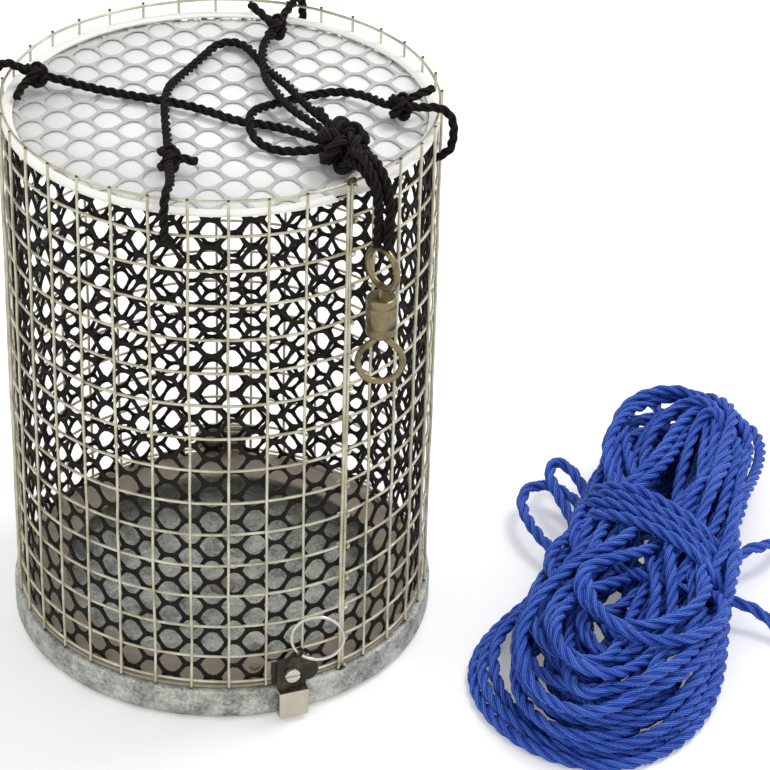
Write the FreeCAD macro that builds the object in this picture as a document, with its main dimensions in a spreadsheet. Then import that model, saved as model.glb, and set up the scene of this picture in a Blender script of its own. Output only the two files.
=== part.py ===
import FreeCAD, Part
import math
import os

import Sketcher

# A round wire bait cage with a hinged weighted dish under it, a turn-button latch, a four-leg cord
# bridle with a barrel swivel, and a loose hank of haul rope. Millimetres, +Z up. The origin is the
# centre of the dish's underside. Angles run from the front (-Y) towards +X.

Vector = FreeCAD.Vector
Z_AXIS = Vector(0, 0, 1)

SIZES = {
    # wire grid
    "grid_radius": 73.5, "wire_dia": 1.0, "wire_slots": 36, "wire_phase": 1.55, "seam_slot": 3,
    "ring_pitch": 12.7, "ring_count": 15, "cage_height": 203.5, "wire_overrun": 0.7, "weld_bite": 0.05,
    "foot_ring_rise": 1.4, "seam_angle": 33.5, "seam_rod_dia": 1.2,
    # sheet pieces and nets
    "flange_thick": 1.0, "flange_width": 17.0, "flange_rivet_inset": 7.0, "net_gap": 0.25, "net_thick": 1.2,
    "lid_depth": 5.5, "lid_net_thick": 1.4, "lid_ring_thick": 0.8, "lid_ring_width": 4.5, "lid_gap": 0.3,
    # dish
    "dish_overhang": 1.5, "dish_height": 12.3, "dish_floor": 2.5, "lip_width": 4.5, "lip_round": 1.2,
    "dish_round": 3.5, "seat_gap": 0.3, "centre_rivet_dia": 9.0, "centre_rivet_rise": 1.6,
    # rear hinge
    "knuckle_dia": 4.4, "hinge_pin_dia": 2.0, "hinge_running": 0.05, "hinge_half": 8.0, "cage_knuckle": 5.8,
    "knuckle_gap": 0.2, "leaf_thick": 0.8, "hinge_reach": 2.5, "leaf_height": 10.0, "leaf_span": 7.0,
    "hinge_rivet_dia": 1.6, "rivet_head_dia": 3.4, "rivet_head_rise": 0.7, "pin_head_dia": 3.0,
    "pin_head_rise": 0.6,
    # latch
    "latch_angle": 18.0, "latch_width": 10.5, "latch_thick": 0.8, "screw_rise": 5.9, "screw_dia": 2.6,
    "screw_head_dia": 5.3, "screw_head_rise": 1.6, "screw_running": 0.05, "bracket_width": 13.0,
    "bracket_thick": 1.2, "latch_gap": 0.3, "latch_rise": 12.7, "latch_foot": 2.0,
    "latch_reach": 3.0, "slot_width": 1.0, "slot_depth": 0.8,
    "ring_wire_dia": 1.1, "ring_radius": 8.95, "eye_hole_dia": 2.0, "eye_dia": 4.2, "eye_rise": 2.6,
    "eye_shift": 1.9, "eye_lean": 46.0,
    "ear_dia": 8.0, "ear_reach": 4.5,
    # swivel
    "swivel_angle": 38.3, "swivel_gap": 9.3, "barrel_dia": 10.2, "barrel_drop": 53.2,
    "barrel_length": 14.3, "barrel_bore": 6.0, "barrel_end": 1.5, "shank_dia": 3.0, "shank_running": 0.05,
    "stud_head_dia": 5.5, "stud_head_rise": 1.6, "neck_length": 3.3, "upper_eye_radius": 6.95,
    "lower_eye_radius": 7.15, "eye_wire_dia": 2.2,
    # cords
    "bridle_dia": 3.2, "strand_gap": 0.35, "rope_dia": 4.7,
}

# Sizes that follow from the driving ones, used in expressions like a sheet alias. A formula's own
# derived names stand below it, so that one pass over the table resolves them.
DERIVED = {
    "eye_height": "latch_top + eye_rise",
    "latch_top": "dish_height + latch_rise",
    "latch_jog": "dish_height + seat_gap",
    "screw_height": "dish_height + screw_rise",
    "dish_radius": "grid_radius + dish_overhang",
    "flange_rivet_radius": "flange_bore + flange_rivet_inset",
    "flange_bore": "grid_radius - flange_width",
    "lid_ring_bore": "grid_radius - lid_ring_width",
    "swivel_reach": "grid_radius + swivel_gap",
    "barrel_base": "cage_height - barrel_drop",
}


def open_document():
    """Make the document and its sheet of driving dimensions."""
    document = FreeCAD.newDocument("bait_cage")
    sheet = document.addObject("Spreadsheet::Sheet", "sizes")
    for row, (name, value) in enumerate(SIZES.items(), start=1):
        sheet.set("A%d" % row, name)
        sheet.set("B%d" % row, str(value))
        sheet.setAlias("B%d" % row, name)
    document.recompute()
    return document, sheet


doc, sizes = open_document()
parts = {}


def size(name):
    """Read one driving dimension from the sheet as a number."""
    return float(sizes.get(name))


def bind(thing, **expressions):
    """Bind properties to expressions written with aliases and derived names; a double underscore is a dot."""
    for prop, expression in expressions.items():
        words = expression
        for name, formula in DERIVED.items():
            words = replace_word(words, name, "(" + formula + ")")
        for alias in SIZES:
            words = replace_word(words, alias, "sizes." + alias)
        thing.setExpression(prop.replace("__", "."), words)


def replace_word(text, word, new):
    """Replace a name wherever it stands as a whole word."""
    result = ""
    start = 0
    while True:
        found = text.find(word, start)
        if found < 0:
            return result + text[start:]
        end = found + len(word)
        before = text[found - 1] if found else " "
        after = text[end] if end < len(text) else " "
        whole = not (before.isalnum() or before in "_." or after.isalnum() or after == "_")
        result += text[start:found] + (new if whole else word)
        start = end


def keep(thing, label):
    """Name a finished sub-part; the label names its file."""
    thing.Label = label
    parts[label] = thing
    return thing


def turn_about_z(thing, expression):
    """Turn a piece made at the front to its own angle round the cage."""
    thing.Placement = FreeCAD.Placement(Vector(), FreeCAD.Rotation(Z_AXIS, 1))
    bind(thing, Placement__Rotation__Angle=expression)


# Part primitives ---------------------------------------------------------------------------------

def box(name, length, width, height, x, y, z):
    """A box whose sizes and corner are expressions."""
    thing = doc.addObject("Part::Box", name)
    bind(thing, Length=length, Width=width, Height=height)
    bind(thing, Placement__Base__x=x, Placement__Base__y=y, Placement__Base__z=z)
    return thing


def rod(name, radius, height, x, y, z, direction=Z_AXIS):
    """A cylinder whose sizes and base centre are expressions, along a fixed direction."""
    thing = doc.addObject("Part::Cylinder", name)
    thing.Placement = FreeCAD.Placement(Vector(), FreeCAD.Rotation(Z_AXIS, direction))
    bind(thing, Radius=radius, Height=height)
    bind(thing, Placement__Base__x=x, Placement__Base__y=y, Placement__Base__z=z)
    return thing


def fuse(name, pieces):
    """Join pieces into one solid."""
    thing = doc.addObject("Part::MultiFuse", name)
    thing.Shapes = pieces
    thing.Refine = True
    return thing


def cut(name, base, tool):
    """Take one piece away from another."""
    thing = doc.addObject("Part::Cut", name)
    thing.Base = base
    thing.Tool = tool
    thing.Refine = True
    return thing


# PartDesign bodies -------------------------------------------------------------------------------

def origin_feature(body, role):
    """Find an origin plane or axis of a body by its role."""
    return [one for one in body.Origin.OriginFeatures if one.Role == role][0]


def new_body(label):
    """Start a PartDesign body that may hold separate solids."""
    body = doc.addObject("PartDesign::Body", label)
    body.AllowCompound = True
    return body


def new_sketch(body, name, role):
    """Attach an empty sketch to one of the body's own origin planes."""
    sketch = body.newObject("Sketcher::SketchObject", name)
    sketch.AttachmentSupport = [(origin_feature(body, role), "")]
    sketch.MapMode = "FlatFace"
    return sketch


def polygon_sketch(body, name, role, corners):
    """Draw a closed outline whose corners are (x expression, y expression) from the origin."""
    sketch = new_sketch(body, name, role)
    count = len(corners)
    for index in range(count):
        angle = 2 * math.pi * index / count
        following = 2 * math.pi * (index + 1) / count
        start = Vector(50 + 10 * math.cos(angle), 50 + 10 * math.sin(angle), 0)
        end = Vector(50 + 10 * math.cos(following), 50 + 10 * math.sin(following), 0)
        sketch.addGeometry(Part.LineSegment(start, end), False)
    for index in range(count):
        sketch.addConstraint(Sketcher.Constraint("Coincident", index, 2, (index + 1) % count, 1))
    for index, (across, up) in enumerate(corners):
        for kind, expression in (("DistanceX", across), ("DistanceY", up)):
            number = sketch.addConstraint(Sketcher.Constraint(kind, -1, 1, index, 1, 50.0))
            sketch.renameConstraint(number, "%s%d" % (kind, index))
            bind(sketch, **{"Constraints__%s%d" % (kind, index): expression})
    return sketch


def revolve(body, name, sketch, angle="360"):
    """Revolve a sketch about the body's own vertical axis."""
    feature = body.newObject("PartDesign::Revolution", name)
    feature.Profile = sketch
    feature.ReferenceAxis = (origin_feature(body, "Z_Axis"), [""])
    bind(feature, Angle=angle)
    body.Tip = feature
    return feature


def turned_body(label, corners, angle="360"):
    """A body of one revolved outline in (radius, height)."""
    body = new_body(label)
    sketch = polygon_sketch(body, label + "_outline", "XZ_Plane", corners)
    revolve(body, label + "_turn", sketch, angle)
    return body


def rounded(body, name, radius, chosen):
    """Fillet the edges of a body's tip that the chooser picks."""
    doc.recompute()
    base = body.Tip
    names = ["Edge%d" % (i + 1) for i, edge in enumerate(base.Shape.Edges) if chosen(edge)]
    feature = body.newObject("PartDesign::Fillet", name)
    feature.Base = (base, names)
    bind(feature, Radius=radius)
    body.Tip = feature
    return feature


def rim_edge(radius, height):
    """A chooser for the full circle of one radius at one height."""
    def chosen(edge):
        curve = edge.Curve
        if not isinstance(curve, Part.Circle):
            return False
        return abs(curve.Radius - radius) < 0.01 and abs(curve.Center.z - height) < 0.01
    return chosen


def arc_strip(label, inner, outer, bottom, top, centre_angle, half_angle):
    """A piece of a thin ring wall, centred on an angle round the cage."""
    corners = [(inner, bottom), (outer, bottom), (outer, top), (inner, top)]
    body = turned_body(label, corners, "2 * (%s)" % half_angle)
    turn_about_z(body, "(%s) - 90 - (%s)" % (centre_angle, half_angle))
    return body


# Heights and radii that several pieces share ------------------------------------------------------

FLANGE_BASE = "(dish_height + seat_gap)"
FLANGE_TOP = "(dish_height + seat_gap + flange_thick)"
WIRE_INNER = "(grid_radius - wire_dia / 2)"
WIRE_OUTER = "(grid_radius + wire_dia / 2)"
RING_RADIUS = "(grid_radius - wire_dia + weld_bite)"
NET_OUTER = "(grid_radius - 1.5 * wire_dia + weld_bite - net_gap)"
NET_INNER = "(grid_radius - 1.5 * wire_dia + weld_bite - net_gap - net_thick)"
LID_TOP = "(cage_height - lid_depth)"
HINGE_Y = "(dish_radius + hinge_reach)"
HINGE_Z = "(dish_height + seat_gap / 2)"
HINGE_ANGLE = "(180 + wire_phase)"
SCREW_FACE = "(grid_radius + wire_dia / 2 + bracket_thick + latch_gap)"


# Base ---------------------------------------------------------------------------------------------

def make_dish():
    """The weighted dish: a shallow tray with a broad flat lip."""
    lip = "(dish_radius - lip_width)"
    corners = [("0", "0"), ("dish_radius", "0"), ("dish_radius", "dish_height"), (lip, "dish_height"),
               (lip, "dish_floor"), ("0", "dish_floor")]
    body = turned_body("base_dish", corners)
    outer = size("grid_radius") + size("dish_overhang")
    inner = outer - size("lip_width")
    height = size("dish_height")
    rounded(body, "dish_foot_round", "dish_round", rim_edge(outer, 0))
    rounded(body, "dish_lip_outer", "lip_round", rim_edge(outer, height))
    rounded(body, "dish_lip_inner", "lip_round", rim_edge(inner, height))
    rounded(body, "dish_well_round", "dish_round", rim_edge(inner, size("dish_floor")))
    return keep(body, "base_dish")


def make_centre_rivet():
    """The domed rivet head at the middle of the dish."""
    head = rod("centre_head", "centre_rivet_dia / 2", "centre_rivet_rise", "0", "0", "dish_floor")
    crown = doc.addObject("Part::Fillet", "centre_crown")
    doc.recompute()
    crown.Base = head
    top = head.Shape.BoundBox.ZMax
    edge = [i + 1 for i, one in enumerate(head.Shape.Edges) if one.BoundBox.ZMin > top - 0.1]
    crown.Edges = [(edge[0], 0.9, 0.9)]
    return keep(crown, "base_rivet")


# Cage ---------------------------------------------------------------------------------------------

def make_flange():
    """The flat ring that closes the cage's lower edge and sits over the dish's lip."""
    corners = [("flange_bore", FLANGE_BASE), (WIRE_INNER, FLANGE_BASE), (WIRE_INNER, FLANGE_TOP),
               ("flange_bore", FLANGE_TOP)]
    return keep(turned_body("bottom_flange", corners), "bottom_flange")


FLANGE_RIVET_ANGLES = ("latch_angle - 8", "latch_angle + 8", "wire_phase - 118", "wire_phase - 126")


def make_flange_rivets():
    """Two pairs of rivet heads that hold the flange's overlap and the latch's foot plate."""
    heads = []
    for index, angle in enumerate(FLANGE_RIVET_ANGLES):
        head = rod("flange_head%d" % index, "rivet_head_dia / 2", "rivet_head_rise",
                   "flange_rivet_radius * sin((%s) * 1deg)" % angle,
                   "-flange_rivet_radius * cos((%s) * 1deg)" % angle, FLANGE_TOP)
        heads.append(head)
    group = doc.addObject("Part::Compound", "flange_rivet_group")
    group.Links = heads
    return keep(group, "flange_rivets")


def make_liner():
    """The net liner as one closed tube standing on the flange."""
    corners = [(NET_INNER, FLANGE_TOP), (NET_OUTER, FLANGE_TOP), (NET_OUTER, LID_TOP), (NET_INNER, LID_TOP)]
    return keep(turned_body("liner_net", corners), "liner_net")


def make_lid_net():
    """The lid's net as a disc inside the liner."""
    body = new_body("lid_net")
    sketch = new_sketch(body, "lid_net_outline", "XY_Plane")
    sketch.addGeometry(Part.Circle(Vector(), Z_AXIS, 60), False)
    sketch.addConstraint(Sketcher.Constraint("Coincident", 0, 3, -1, 1))
    number = sketch.addConstraint(Sketcher.Constraint("Radius", 0, 60))
    sketch.renameConstraint(number, "edge")
    bind(sketch, Constraints__edge=NET_INNER + " - lid_gap")
    bind(sketch, AttachmentOffset__Base__z=LID_TOP + " - lid_net_thick")
    pad = body.newObject("PartDesign::Pad", "lid_net_pad")
    pad.Profile = sketch
    bind(pad, Length="lid_net_thick")
    body.Tip = pad
    return keep(body, "lid_net")


def make_lid_ring():
    """The flat split ring that clamps the lid's net; its gap is at the seam."""
    top = LID_TOP + " + lid_ring_thick"
    corners = [("lid_ring_bore", LID_TOP), (WIRE_INNER, LID_TOP), (WIRE_INNER, top), ("lid_ring_bore", top)]
    body = turned_body("lid_ring", corners, "354")
    turn_about_z(body, "seam_angle + 3 - 90")
    return keep(body, "lid_ring")


def make_vertical_wires():
    """The upright wires: one circle padded up, repeated round every slot but the seam's."""
    body = new_body("vertical_wires")
    sketch = new_sketch(body, "wire_section", "XY_Plane")
    sketch.addGeometry(Part.Circle(Vector(0, -70, 0), Z_AXIS, 0.5), False)
    sketch.addConstraint(Sketcher.Constraint("PointOnObject", 0, 3, -2))
    number = sketch.addConstraint(Sketcher.Constraint("DistanceY", -1, 1, 0, 3, -70.0))
    sketch.renameConstraint(number, "reach")
    number = sketch.addConstraint(Sketcher.Constraint("Radius", 0, 0.5))
    sketch.renameConstraint(number, "thickness")
    bind(sketch, Constraints__reach="-grid_radius", Constraints__thickness="wire_dia / 2")
    bind(sketch, AttachmentOffset__Base__z=FLANGE_BASE)
    pad = body.newObject("PartDesign::Pad", "wire_pad")
    pad.Profile = sketch
    bind(pad, Length="cage_height + wire_overrun - " + FLANGE_BASE)
    body.Tip = pad
    pattern = body.newObject("PartDesign::PolarPattern", "wire_pattern")
    pattern.Originals = [pad]
    pattern.Axis = (origin_feature(body, "Z_Axis"), [""])
    bind(pattern, Angle="360 - 720 / wire_slots", Occurrences="wire_slots - 1")
    body.Tip = pattern
    turn_about_z(body, "wire_phase + 360 / wire_slots * (seam_slot + 1)")
    return keep(body, "vertical_wires")


def make_ring_wires():
    """The level wires inside the uprights: a ladder of circles and one at the foot."""
    body = new_body("ring_wires")
    foot = ring_wire(body, "foot_ring", FLANGE_TOP + " + foot_ring_rise")
    top = ring_wire(body, "top_ring", "cage_height")
    pattern = body.newObject("PartDesign::LinearPattern", "ring_pattern")
    pattern.Originals = [top]
    pattern.Direction = (origin_feature(body, "Z_Axis"), [""])
    pattern.Reversed = True
    bind(pattern, Length="ring_pitch * (ring_count - 1)", Occurrences="ring_count")
    body.Tip = pattern
    return keep(body, "ring_wires")


def ring_wire(body, name, height):
    """One full circle of wire at a height."""
    sketch = new_sketch(body, name + "_section", "XZ_Plane")
    sketch.addGeometry(Part.Circle(Vector(70, 100, 0), Z_AXIS, 0.5), False)
    for kind, label, expression, start in (("DistanceX", "reach", RING_RADIUS, 70.0),
                                           ("DistanceY", "height", height, 100.0)):
        number = sketch.addConstraint(Sketcher.Constraint(kind, -1, 1, 0, 3, start))
        sketch.renameConstraint(number, label)
        bind(sketch, **{"Constraints__" + label: expression})
    number = sketch.addConstraint(Sketcher.Constraint("Radius", 0, 0.5))
    sketch.renameConstraint(number, "thickness")
    bind(sketch, Constraints__thickness="wire_dia / 2")
    return revolve(body, name, sketch)


def make_seam_rods():
    """The two rods side by side where the rolled grid's ends meet."""
    rods = []
    for side in (-1, 1):
        one = rod("seam_rod%d" % side, "seam_rod_dia / 2", "cage_height + wire_overrun - " + FLANGE_BASE,
                  "%d * seam_rod_dia / 2" % side, "-(%s + seam_rod_dia / 2)" % WIRE_INNER, FLANGE_BASE)
        rods.append(one)
    group = doc.addObject("Part::Compound", "seam_group")
    group.Links = rods
    turn_about_z(group, "seam_angle")
    return keep(group, "seam_rods")


# Rear hinge ---------------------------------------------------------------------------------------

def knuckle(name, start, length):
    """One tube of the hinge along X."""
    barrel = rod(name, "knuckle_dia / 2", length, start, HINGE_Y, HINGE_Z, Vector(1, 0, 0))
    bore = rod(name + "_bore", "hinge_pin_dia / 2 + hinge_running", length + " + 2", start + " - 1", HINGE_Y,
               HINGE_Z, Vector(1, 0, 0))
    return barrel, bore


def make_base_leaf():
    """The leaf riveted to the dish's wall, with the two outer knuckles."""
    leaf = arc_strip("base_leaf_strip", "dish_radius", "dish_radius + leaf_thick", "dish_round + 0.5",
                     HINGE_Z, "180", "leaf_span * 0.85")
    left, left_bore = knuckle("left_knuckle", "-hinge_half", "hinge_half - cage_knuckle / 2 - knuckle_gap")
    right, right_bore = knuckle("right_knuckle", "cage_knuckle / 2 + knuckle_gap",
                                "hinge_half - cage_knuckle / 2 - knuckle_gap")
    notch = box("leaf_notch", "cage_knuckle + 2 * knuckle_gap", "10", "10", "-cage_knuckle / 2 - knuckle_gap",
                "dish_radius - 5", HINGE_Z + " - knuckle_dia / 2 - seat_gap")
    body = fuse("base_leaf_joined", [leaf, left, right])
    holes = doc.addObject("Part::MultiFuse", "base_leaf_holes")
    holes.Shapes = [left_bore, right_bore, notch]
    return keep(cut("base_leaf_cut", body, holes), "hinge_leaf_base")


def make_cage_leaf():
    """The leaf on the cage's wires, with the middle knuckle and its web."""
    foot = "(%s + knuckle_dia / 2 - leaf_thick)" % HINGE_Z
    leaf = arc_strip("cage_leaf_strip", WIRE_OUTER, WIRE_OUTER + " + leaf_thick", foot,
                     foot + " + leaf_height", "180", "leaf_span")
    web = box("cage_leaf_web", "cage_knuckle", HINGE_Y + " - " + WIRE_OUTER + " - leaf_thick / 2",
              "leaf_thick", "-cage_knuckle / 2", WIRE_OUTER + " + leaf_thick / 2", foot)
    middle, bore = knuckle("middle_knuckle", "-cage_knuckle / 2", "cage_knuckle")
    body = fuse("cage_leaf_joined", [leaf, web, middle])
    return keep(cut("cage_leaf_cut", body, bore), "hinge_leaf_cage")


def make_hinge_pin():
    """The pin with a peened head at each end."""
    across = Vector(1, 0, 0)
    pin = rod("pin_shaft", "hinge_pin_dia / 2", "2 * hinge_half", "-hinge_half", HINGE_Y, HINGE_Z, across)
    left = rod("pin_left", "pin_head_dia / 2", "pin_head_rise", "-hinge_half - pin_head_rise", HINGE_Y,
               HINGE_Z, across)
    right = rod("pin_right", "pin_head_dia / 2", "pin_head_rise", "hinge_half", HINGE_Y, HINGE_Z, across)
    return keep(fuse("pin_joined", [pin, left, right]), "hinge_pin")


def make_hinge_backing():
    """The strip inside the grid that the cage leaf is clamped against."""
    foot = FLANGE_TOP + " + foot_ring_rise + wire_dia + 0.6"
    strip = arc_strip("hinge_backing_strip", WIRE_INNER + " - 0.7", WIRE_INNER, foot,
                      foot + " + leaf_height * 0.6", "180", "leaf_span")
    return keep(strip, "hinge_backing")


def make_hinge_rivets():
    """Rivets between the wires that clamp the cage leaf, and heads on the dish's leaf."""
    cage = []
    height = FLANGE_TOP + " + foot_ring_rise + wire_dia + leaf_height * 0.3 + 0.6"
    for index, slot in enumerate(("0.5", "-0.5")):
        angle = "(wire_phase + 360 / wire_slots * (%s))" % slot
        shank = rod("cage_shank%d" % index, "hinge_rivet_dia / 2", "wire_dia", "0", WIRE_INNER, height,
                    Vector(0, 1, 0))
        head = rod("cage_head%d" % index, "rivet_head_dia / 2", "rivet_head_rise", "0",
                   WIRE_OUTER + " + leaf_thick", height, Vector(0, 1, 0))
        joined = doc.addObject("Part::Compound", "cage_rivet%d" % index)
        joined.Links = [shank, head]
        turn_about_z(joined, angle)
        cage.append(joined)
    group = doc.addObject("Part::Compound", "cage_rivet_group")
    group.Links = cage
    keep(group, "hinge_rivets_cage")
    base = []
    for index, side in enumerate((-1, 1)):
        head = rod("base_head%d" % index, "rivet_head_dia / 2", "rivet_head_rise", "0",
                   "dish_radius + leaf_thick", "dish_height / 2 - 0.2", Vector(0, 1, 0))
        turned = doc.addObject("Part::Compound", "base_rivet%d" % index)
        turned.Links = [head]
        turn_about_z(turned, "%d * leaf_span * 0.5" % side)
        base.append(turned)
    group = doc.addObject("Part::Compound", "base_rivet_group")
    group.Links = base
    return keep(group, "hinge_rivets_base")


# Latch --------------------------------------------------------------------------------------------

def make_bracket():
    """The plate on the wires that the turn button's screw goes through."""
    foot = FLANGE_TOP + " + 0.4"
    strip = arc_strip("bracket_strip", WIRE_OUTER, WIRE_OUTER + " + bracket_thick", foot,
                      "screw_height + 4.5", "0", "asin(bracket_width / 2 / grid_radius) / 1deg")
    hole = rod("bracket_hole", "screw_dia / 2", "12", "0", "-dish_radius - 6", "screw_height",
               Vector(0, 1, 0))
    plate = cut("bracket_cut", strip, hole)
    turn_about_z(plate, "latch_angle")
    return keep(plate, "latch_bracket")


def make_latch_backing():
    """The strip inside the grid that the latch's screw is fixed in."""
    strip = arc_strip("latch_backing_strip", WIRE_INNER + " - 0.7", WIRE_INNER,
                      "screw_height - screw_dia / 2 - 0.8", "screw_height + 4", "latch_angle", "6")
    return keep(strip, "latch_backing")


def make_latch_screw():
    """The slotted pan-head screw that the turn button pivots on."""
    shank = rod("screw_shank", "screw_dia / 2", SCREW_FACE + " + latch_thick + screw_running - " + WIRE_INNER,
                "0", "-(%s + latch_thick + screw_running)" % SCREW_FACE, "screw_height", Vector(0, 1, 0))
    head = rod("screw_head", "screw_head_dia / 2", "screw_head_rise", "0",
               "-(%s + latch_thick + screw_running + screw_head_rise)" % SCREW_FACE, "screw_height",
               Vector(0, 1, 0))
    slot = box("screw_slot", "screw_head_dia + 2", "slot_depth", "slot_width", "-screw_head_dia / 2 - 1",
               "-(%s + latch_thick + screw_running + screw_head_rise)" % SCREW_FACE,
               "screw_height - slot_width / 2")
    screw = cut("screw_cut", fuse("screw_joined", [shank, head]), slot)
    turn_about_z(screw, "latch_angle")
    return keep(screw, "latch_screw")


def make_latch_strip():
    """The turn button: a strip with a round ear, a foot outside the lip, and a folded eye at the top."""
    front = "(%s + latch_thick)" % SCREW_FACE
    foot_front = "(%s + latch_reach)" % front
    arm = box("latch_arm", "latch_width", "latch_thick", "latch_top - latch_jog", "-latch_width / 2",
              "-" + front, "latch_jog")
    jog = box("latch_jog_web", "latch_width", "latch_reach + latch_thick", "latch_thick", "-latch_width / 2",
              "-" + foot_front, "latch_jog - latch_thick")
    leg = box("latch_leg", "latch_width", "latch_thick", "latch_jog - latch_foot", "-latch_width / 2",
              "-" + foot_front, "latch_foot")
    curl = box("latch_curl", "latch_width", foot_front + " - dish_radius - 2 * latch_gap", "latch_thick",
               "-latch_width / 2", "-" + foot_front, "latch_foot")
    ear = rod("latch_ear", "ear_dia / 2", "latch_thick", "latch_width / 2 + ear_reach - ear_dia / 2",
              "-" + front, "screw_height", Vector(0, 1, 0))
    hole = rod("latch_hole", "screw_dia / 2 + screw_running", "20", "0", "-dish_radius - 12",
               "screw_height", Vector(0, 1, 0))
    strip = cut("latch_plate", fuse("latch_folded", [arm, ear, jog, leg, curl]), hole)
    body = fuse("latch_with_eye", [strip, make_latch_eye()])
    turn_about_z(body, "latch_angle")
    return keep(body, "latch_strip")


def make_latch_eye():
    """The tab folded square to the strip, with the hole that the pull ring hangs in."""
    reach = "(%s + eye_dia / 2)" % SCREW_FACE
    stem_length = "(eye_height - latch_top + 3)"
    stem = box("eye_stem", "latch_thick", "eye_dia / 2", stem_length, "-latch_thick / 2",
               "-" + reach, "-" + stem_length)
    tab = rod("eye_tab", "eye_dia / 2", "latch_thick", "-latch_thick / 2", "-" + reach, "0", Vector(1, 0, 0))
    hole = rod("eye_hole", "eye_hole_dia / 2", "latch_thick + 2", "-latch_thick / 2 - 1", "-" + reach, "0",
               Vector(1, 0, 0))
    eye = cut("eye_cut", fuse("eye_joined", [stem, tab]), hole)
    eye.Placement = FreeCAD.Placement(Vector(), FreeCAD.Rotation(Vector(0, 1, 0), 1))
    bind(eye, Placement__Base__x="eye_shift", Placement__Base__z="eye_height",
         Placement__Rotation__Angle="eye_lean")
    return eye


def make_pull_ring():
    """The wire ring in the eye; it hangs square to the front, clear of the curved grid."""
    ring = doc.addObject("Part::Torus", "pull_ring_wire")
    ring.Placement = FreeCAD.Placement(Vector(), FreeCAD.Rotation(Vector(1, 0, 0), 90))
    bind(ring, Radius1="ring_radius", Radius2="ring_wire_dia / 2")
    bind(ring, Placement__Base__x="ring_radius * sin(eye_lean * 1deg)",
         Placement__Base__z="ring_radius * cos(eye_lean * 1deg)")
    hung = doc.addObject("Part::Compound", "pull_ring_hung")
    hung.Links = [ring]
    turn_about_z(hung, "-latch_angle")
    bind(hung, Placement__Base__x="eye_shift", Placement__Base__y="-(%s + eye_dia / 2)" % SCREW_FACE,
         Placement__Base__z="eye_height")
    holder = doc.addObject("Part::Compound", "pull_ring_holder")
    holder.Links = [hung]
    turn_about_z(holder, "latch_angle")
    return keep(holder, "pull_ring")


# Swivel -------------------------------------------------------------------------------------------

def swivel_stud(name, ring_radius, base, up, ring_turn):
    """An eye with its shank and the head that is trapped in the barrel; up is 1 or -1."""
    reach = "-swivel_reach"
    shank_end = "(%s) - %d * (barrel_end + shank_running)" % (base, up)
    shank_length = "barrel_end + shank_running + neck_length"
    shank_start = shank_end if up > 0 else "(%s) - neck_length" % base
    shank = rod(name + "_shank", "shank_dia / 2", shank_length, "0", reach, shank_start)
    head_start = shank_end + (" - stud_head_rise" if up > 0 else "")
    head = rod(name + "_head", "stud_head_dia / 2", "stud_head_rise", "0", reach, head_start)
    ring = doc.addObject("Part::Torus", name + "_ring")
    ring.Placement = FreeCAD.Placement(Vector(), ring_turn)
    bind(ring, Radius1=ring_radius, Radius2="eye_wire_dia / 2")
    bind(ring, Placement__Base__y=reach,
         Placement__Base__z="(%s) + %d * (neck_length + %s)" % (base, up, ring_radius))
    stud = fuse(name + "_joined", [shank, head, ring])
    turn_about_z(stud, "swivel_angle")
    return keep(stud, name)


def make_swivel():
    """The hollow barrel and the eyes that turn in its two ends."""
    outside = rod("barrel_outside", "barrel_dia / 2", "barrel_length", "0", "-swivel_reach", "barrel_base")
    hollow = rod("barrel_hollow", "barrel_bore / 2", "barrel_length - 2 * barrel_end", "0", "-swivel_reach",
                 "barrel_base + barrel_end")
    holes = rod("barrel_holes", "shank_dia / 2 + shank_running", "barrel_length + 2", "0", "-swivel_reach",
                "barrel_base - 1")
    inside = doc.addObject("Part::MultiFuse", "barrel_inside")
    inside.Shapes = [hollow, holes]
    barrel = cut("barrel_cut", outside, inside)
    turn_about_z(barrel, "swivel_angle")
    keep(barrel, "swivel_barrel")
    swivel_stud("swivel_upper_eye", "upper_eye_radius", "barrel_base + barrel_length", 1,
                FreeCAD.Rotation(Vector(0, 1, 0), -90))
    facing = FreeCAD.Rotation(Z_AXIS, -size("swivel_angle"))
    swivel_stud("swivel_lower_eye", "lower_eye_radius", "barrel_base", -1,
                facing * FreeCAD.Rotation(Vector(1, 0, 0), 90))


# Cords --------------------------------------------------------------------------------------------

ARC_SHARE = 0.45


def route_wire(points, closed=False):
    """Straight runs joined by arcs as large as the two runs beside each corner allow."""
    count = len(points)
    corners = range(count) if closed else range(1, count - 1)
    trims = {}
    radii = []
    for index in corners:
        before = points[index] - points[index - 1]
        after = points[(index + 1) % count] - points[index]
        turn = before.getAngle(after)
        reach = ARC_SHARE * min(before.Length, after.Length)
        radii.append(reach / math.tan(turn / 2))
        start = points[index] - before.normalize() * reach
        end = points[index] + after.normalize() * reach
        toward = ((start + end) * 0.5 - points[index]).normalize()
        middle = points[index] + toward * (radii[-1] / math.cos(turn / 2) - radii[-1])
        trims[index] = (start, middle, end)
    edges = []
    place = trims[0][2] if closed else points[0]
    order = list(range(1, count)) + [0] if closed else range(1, count - 1)
    for index in order:
        start, middle, end = trims[index]
        edges.append(Part.LineSegment(place, start).toShape())
        edges.append(Part.Arc(start, middle, end).toShape())
        place = end
    if not closed:
        edges.append(Part.LineSegment(place, points[-1]).toShape())
    return Part.Wire(edges), radii


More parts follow.
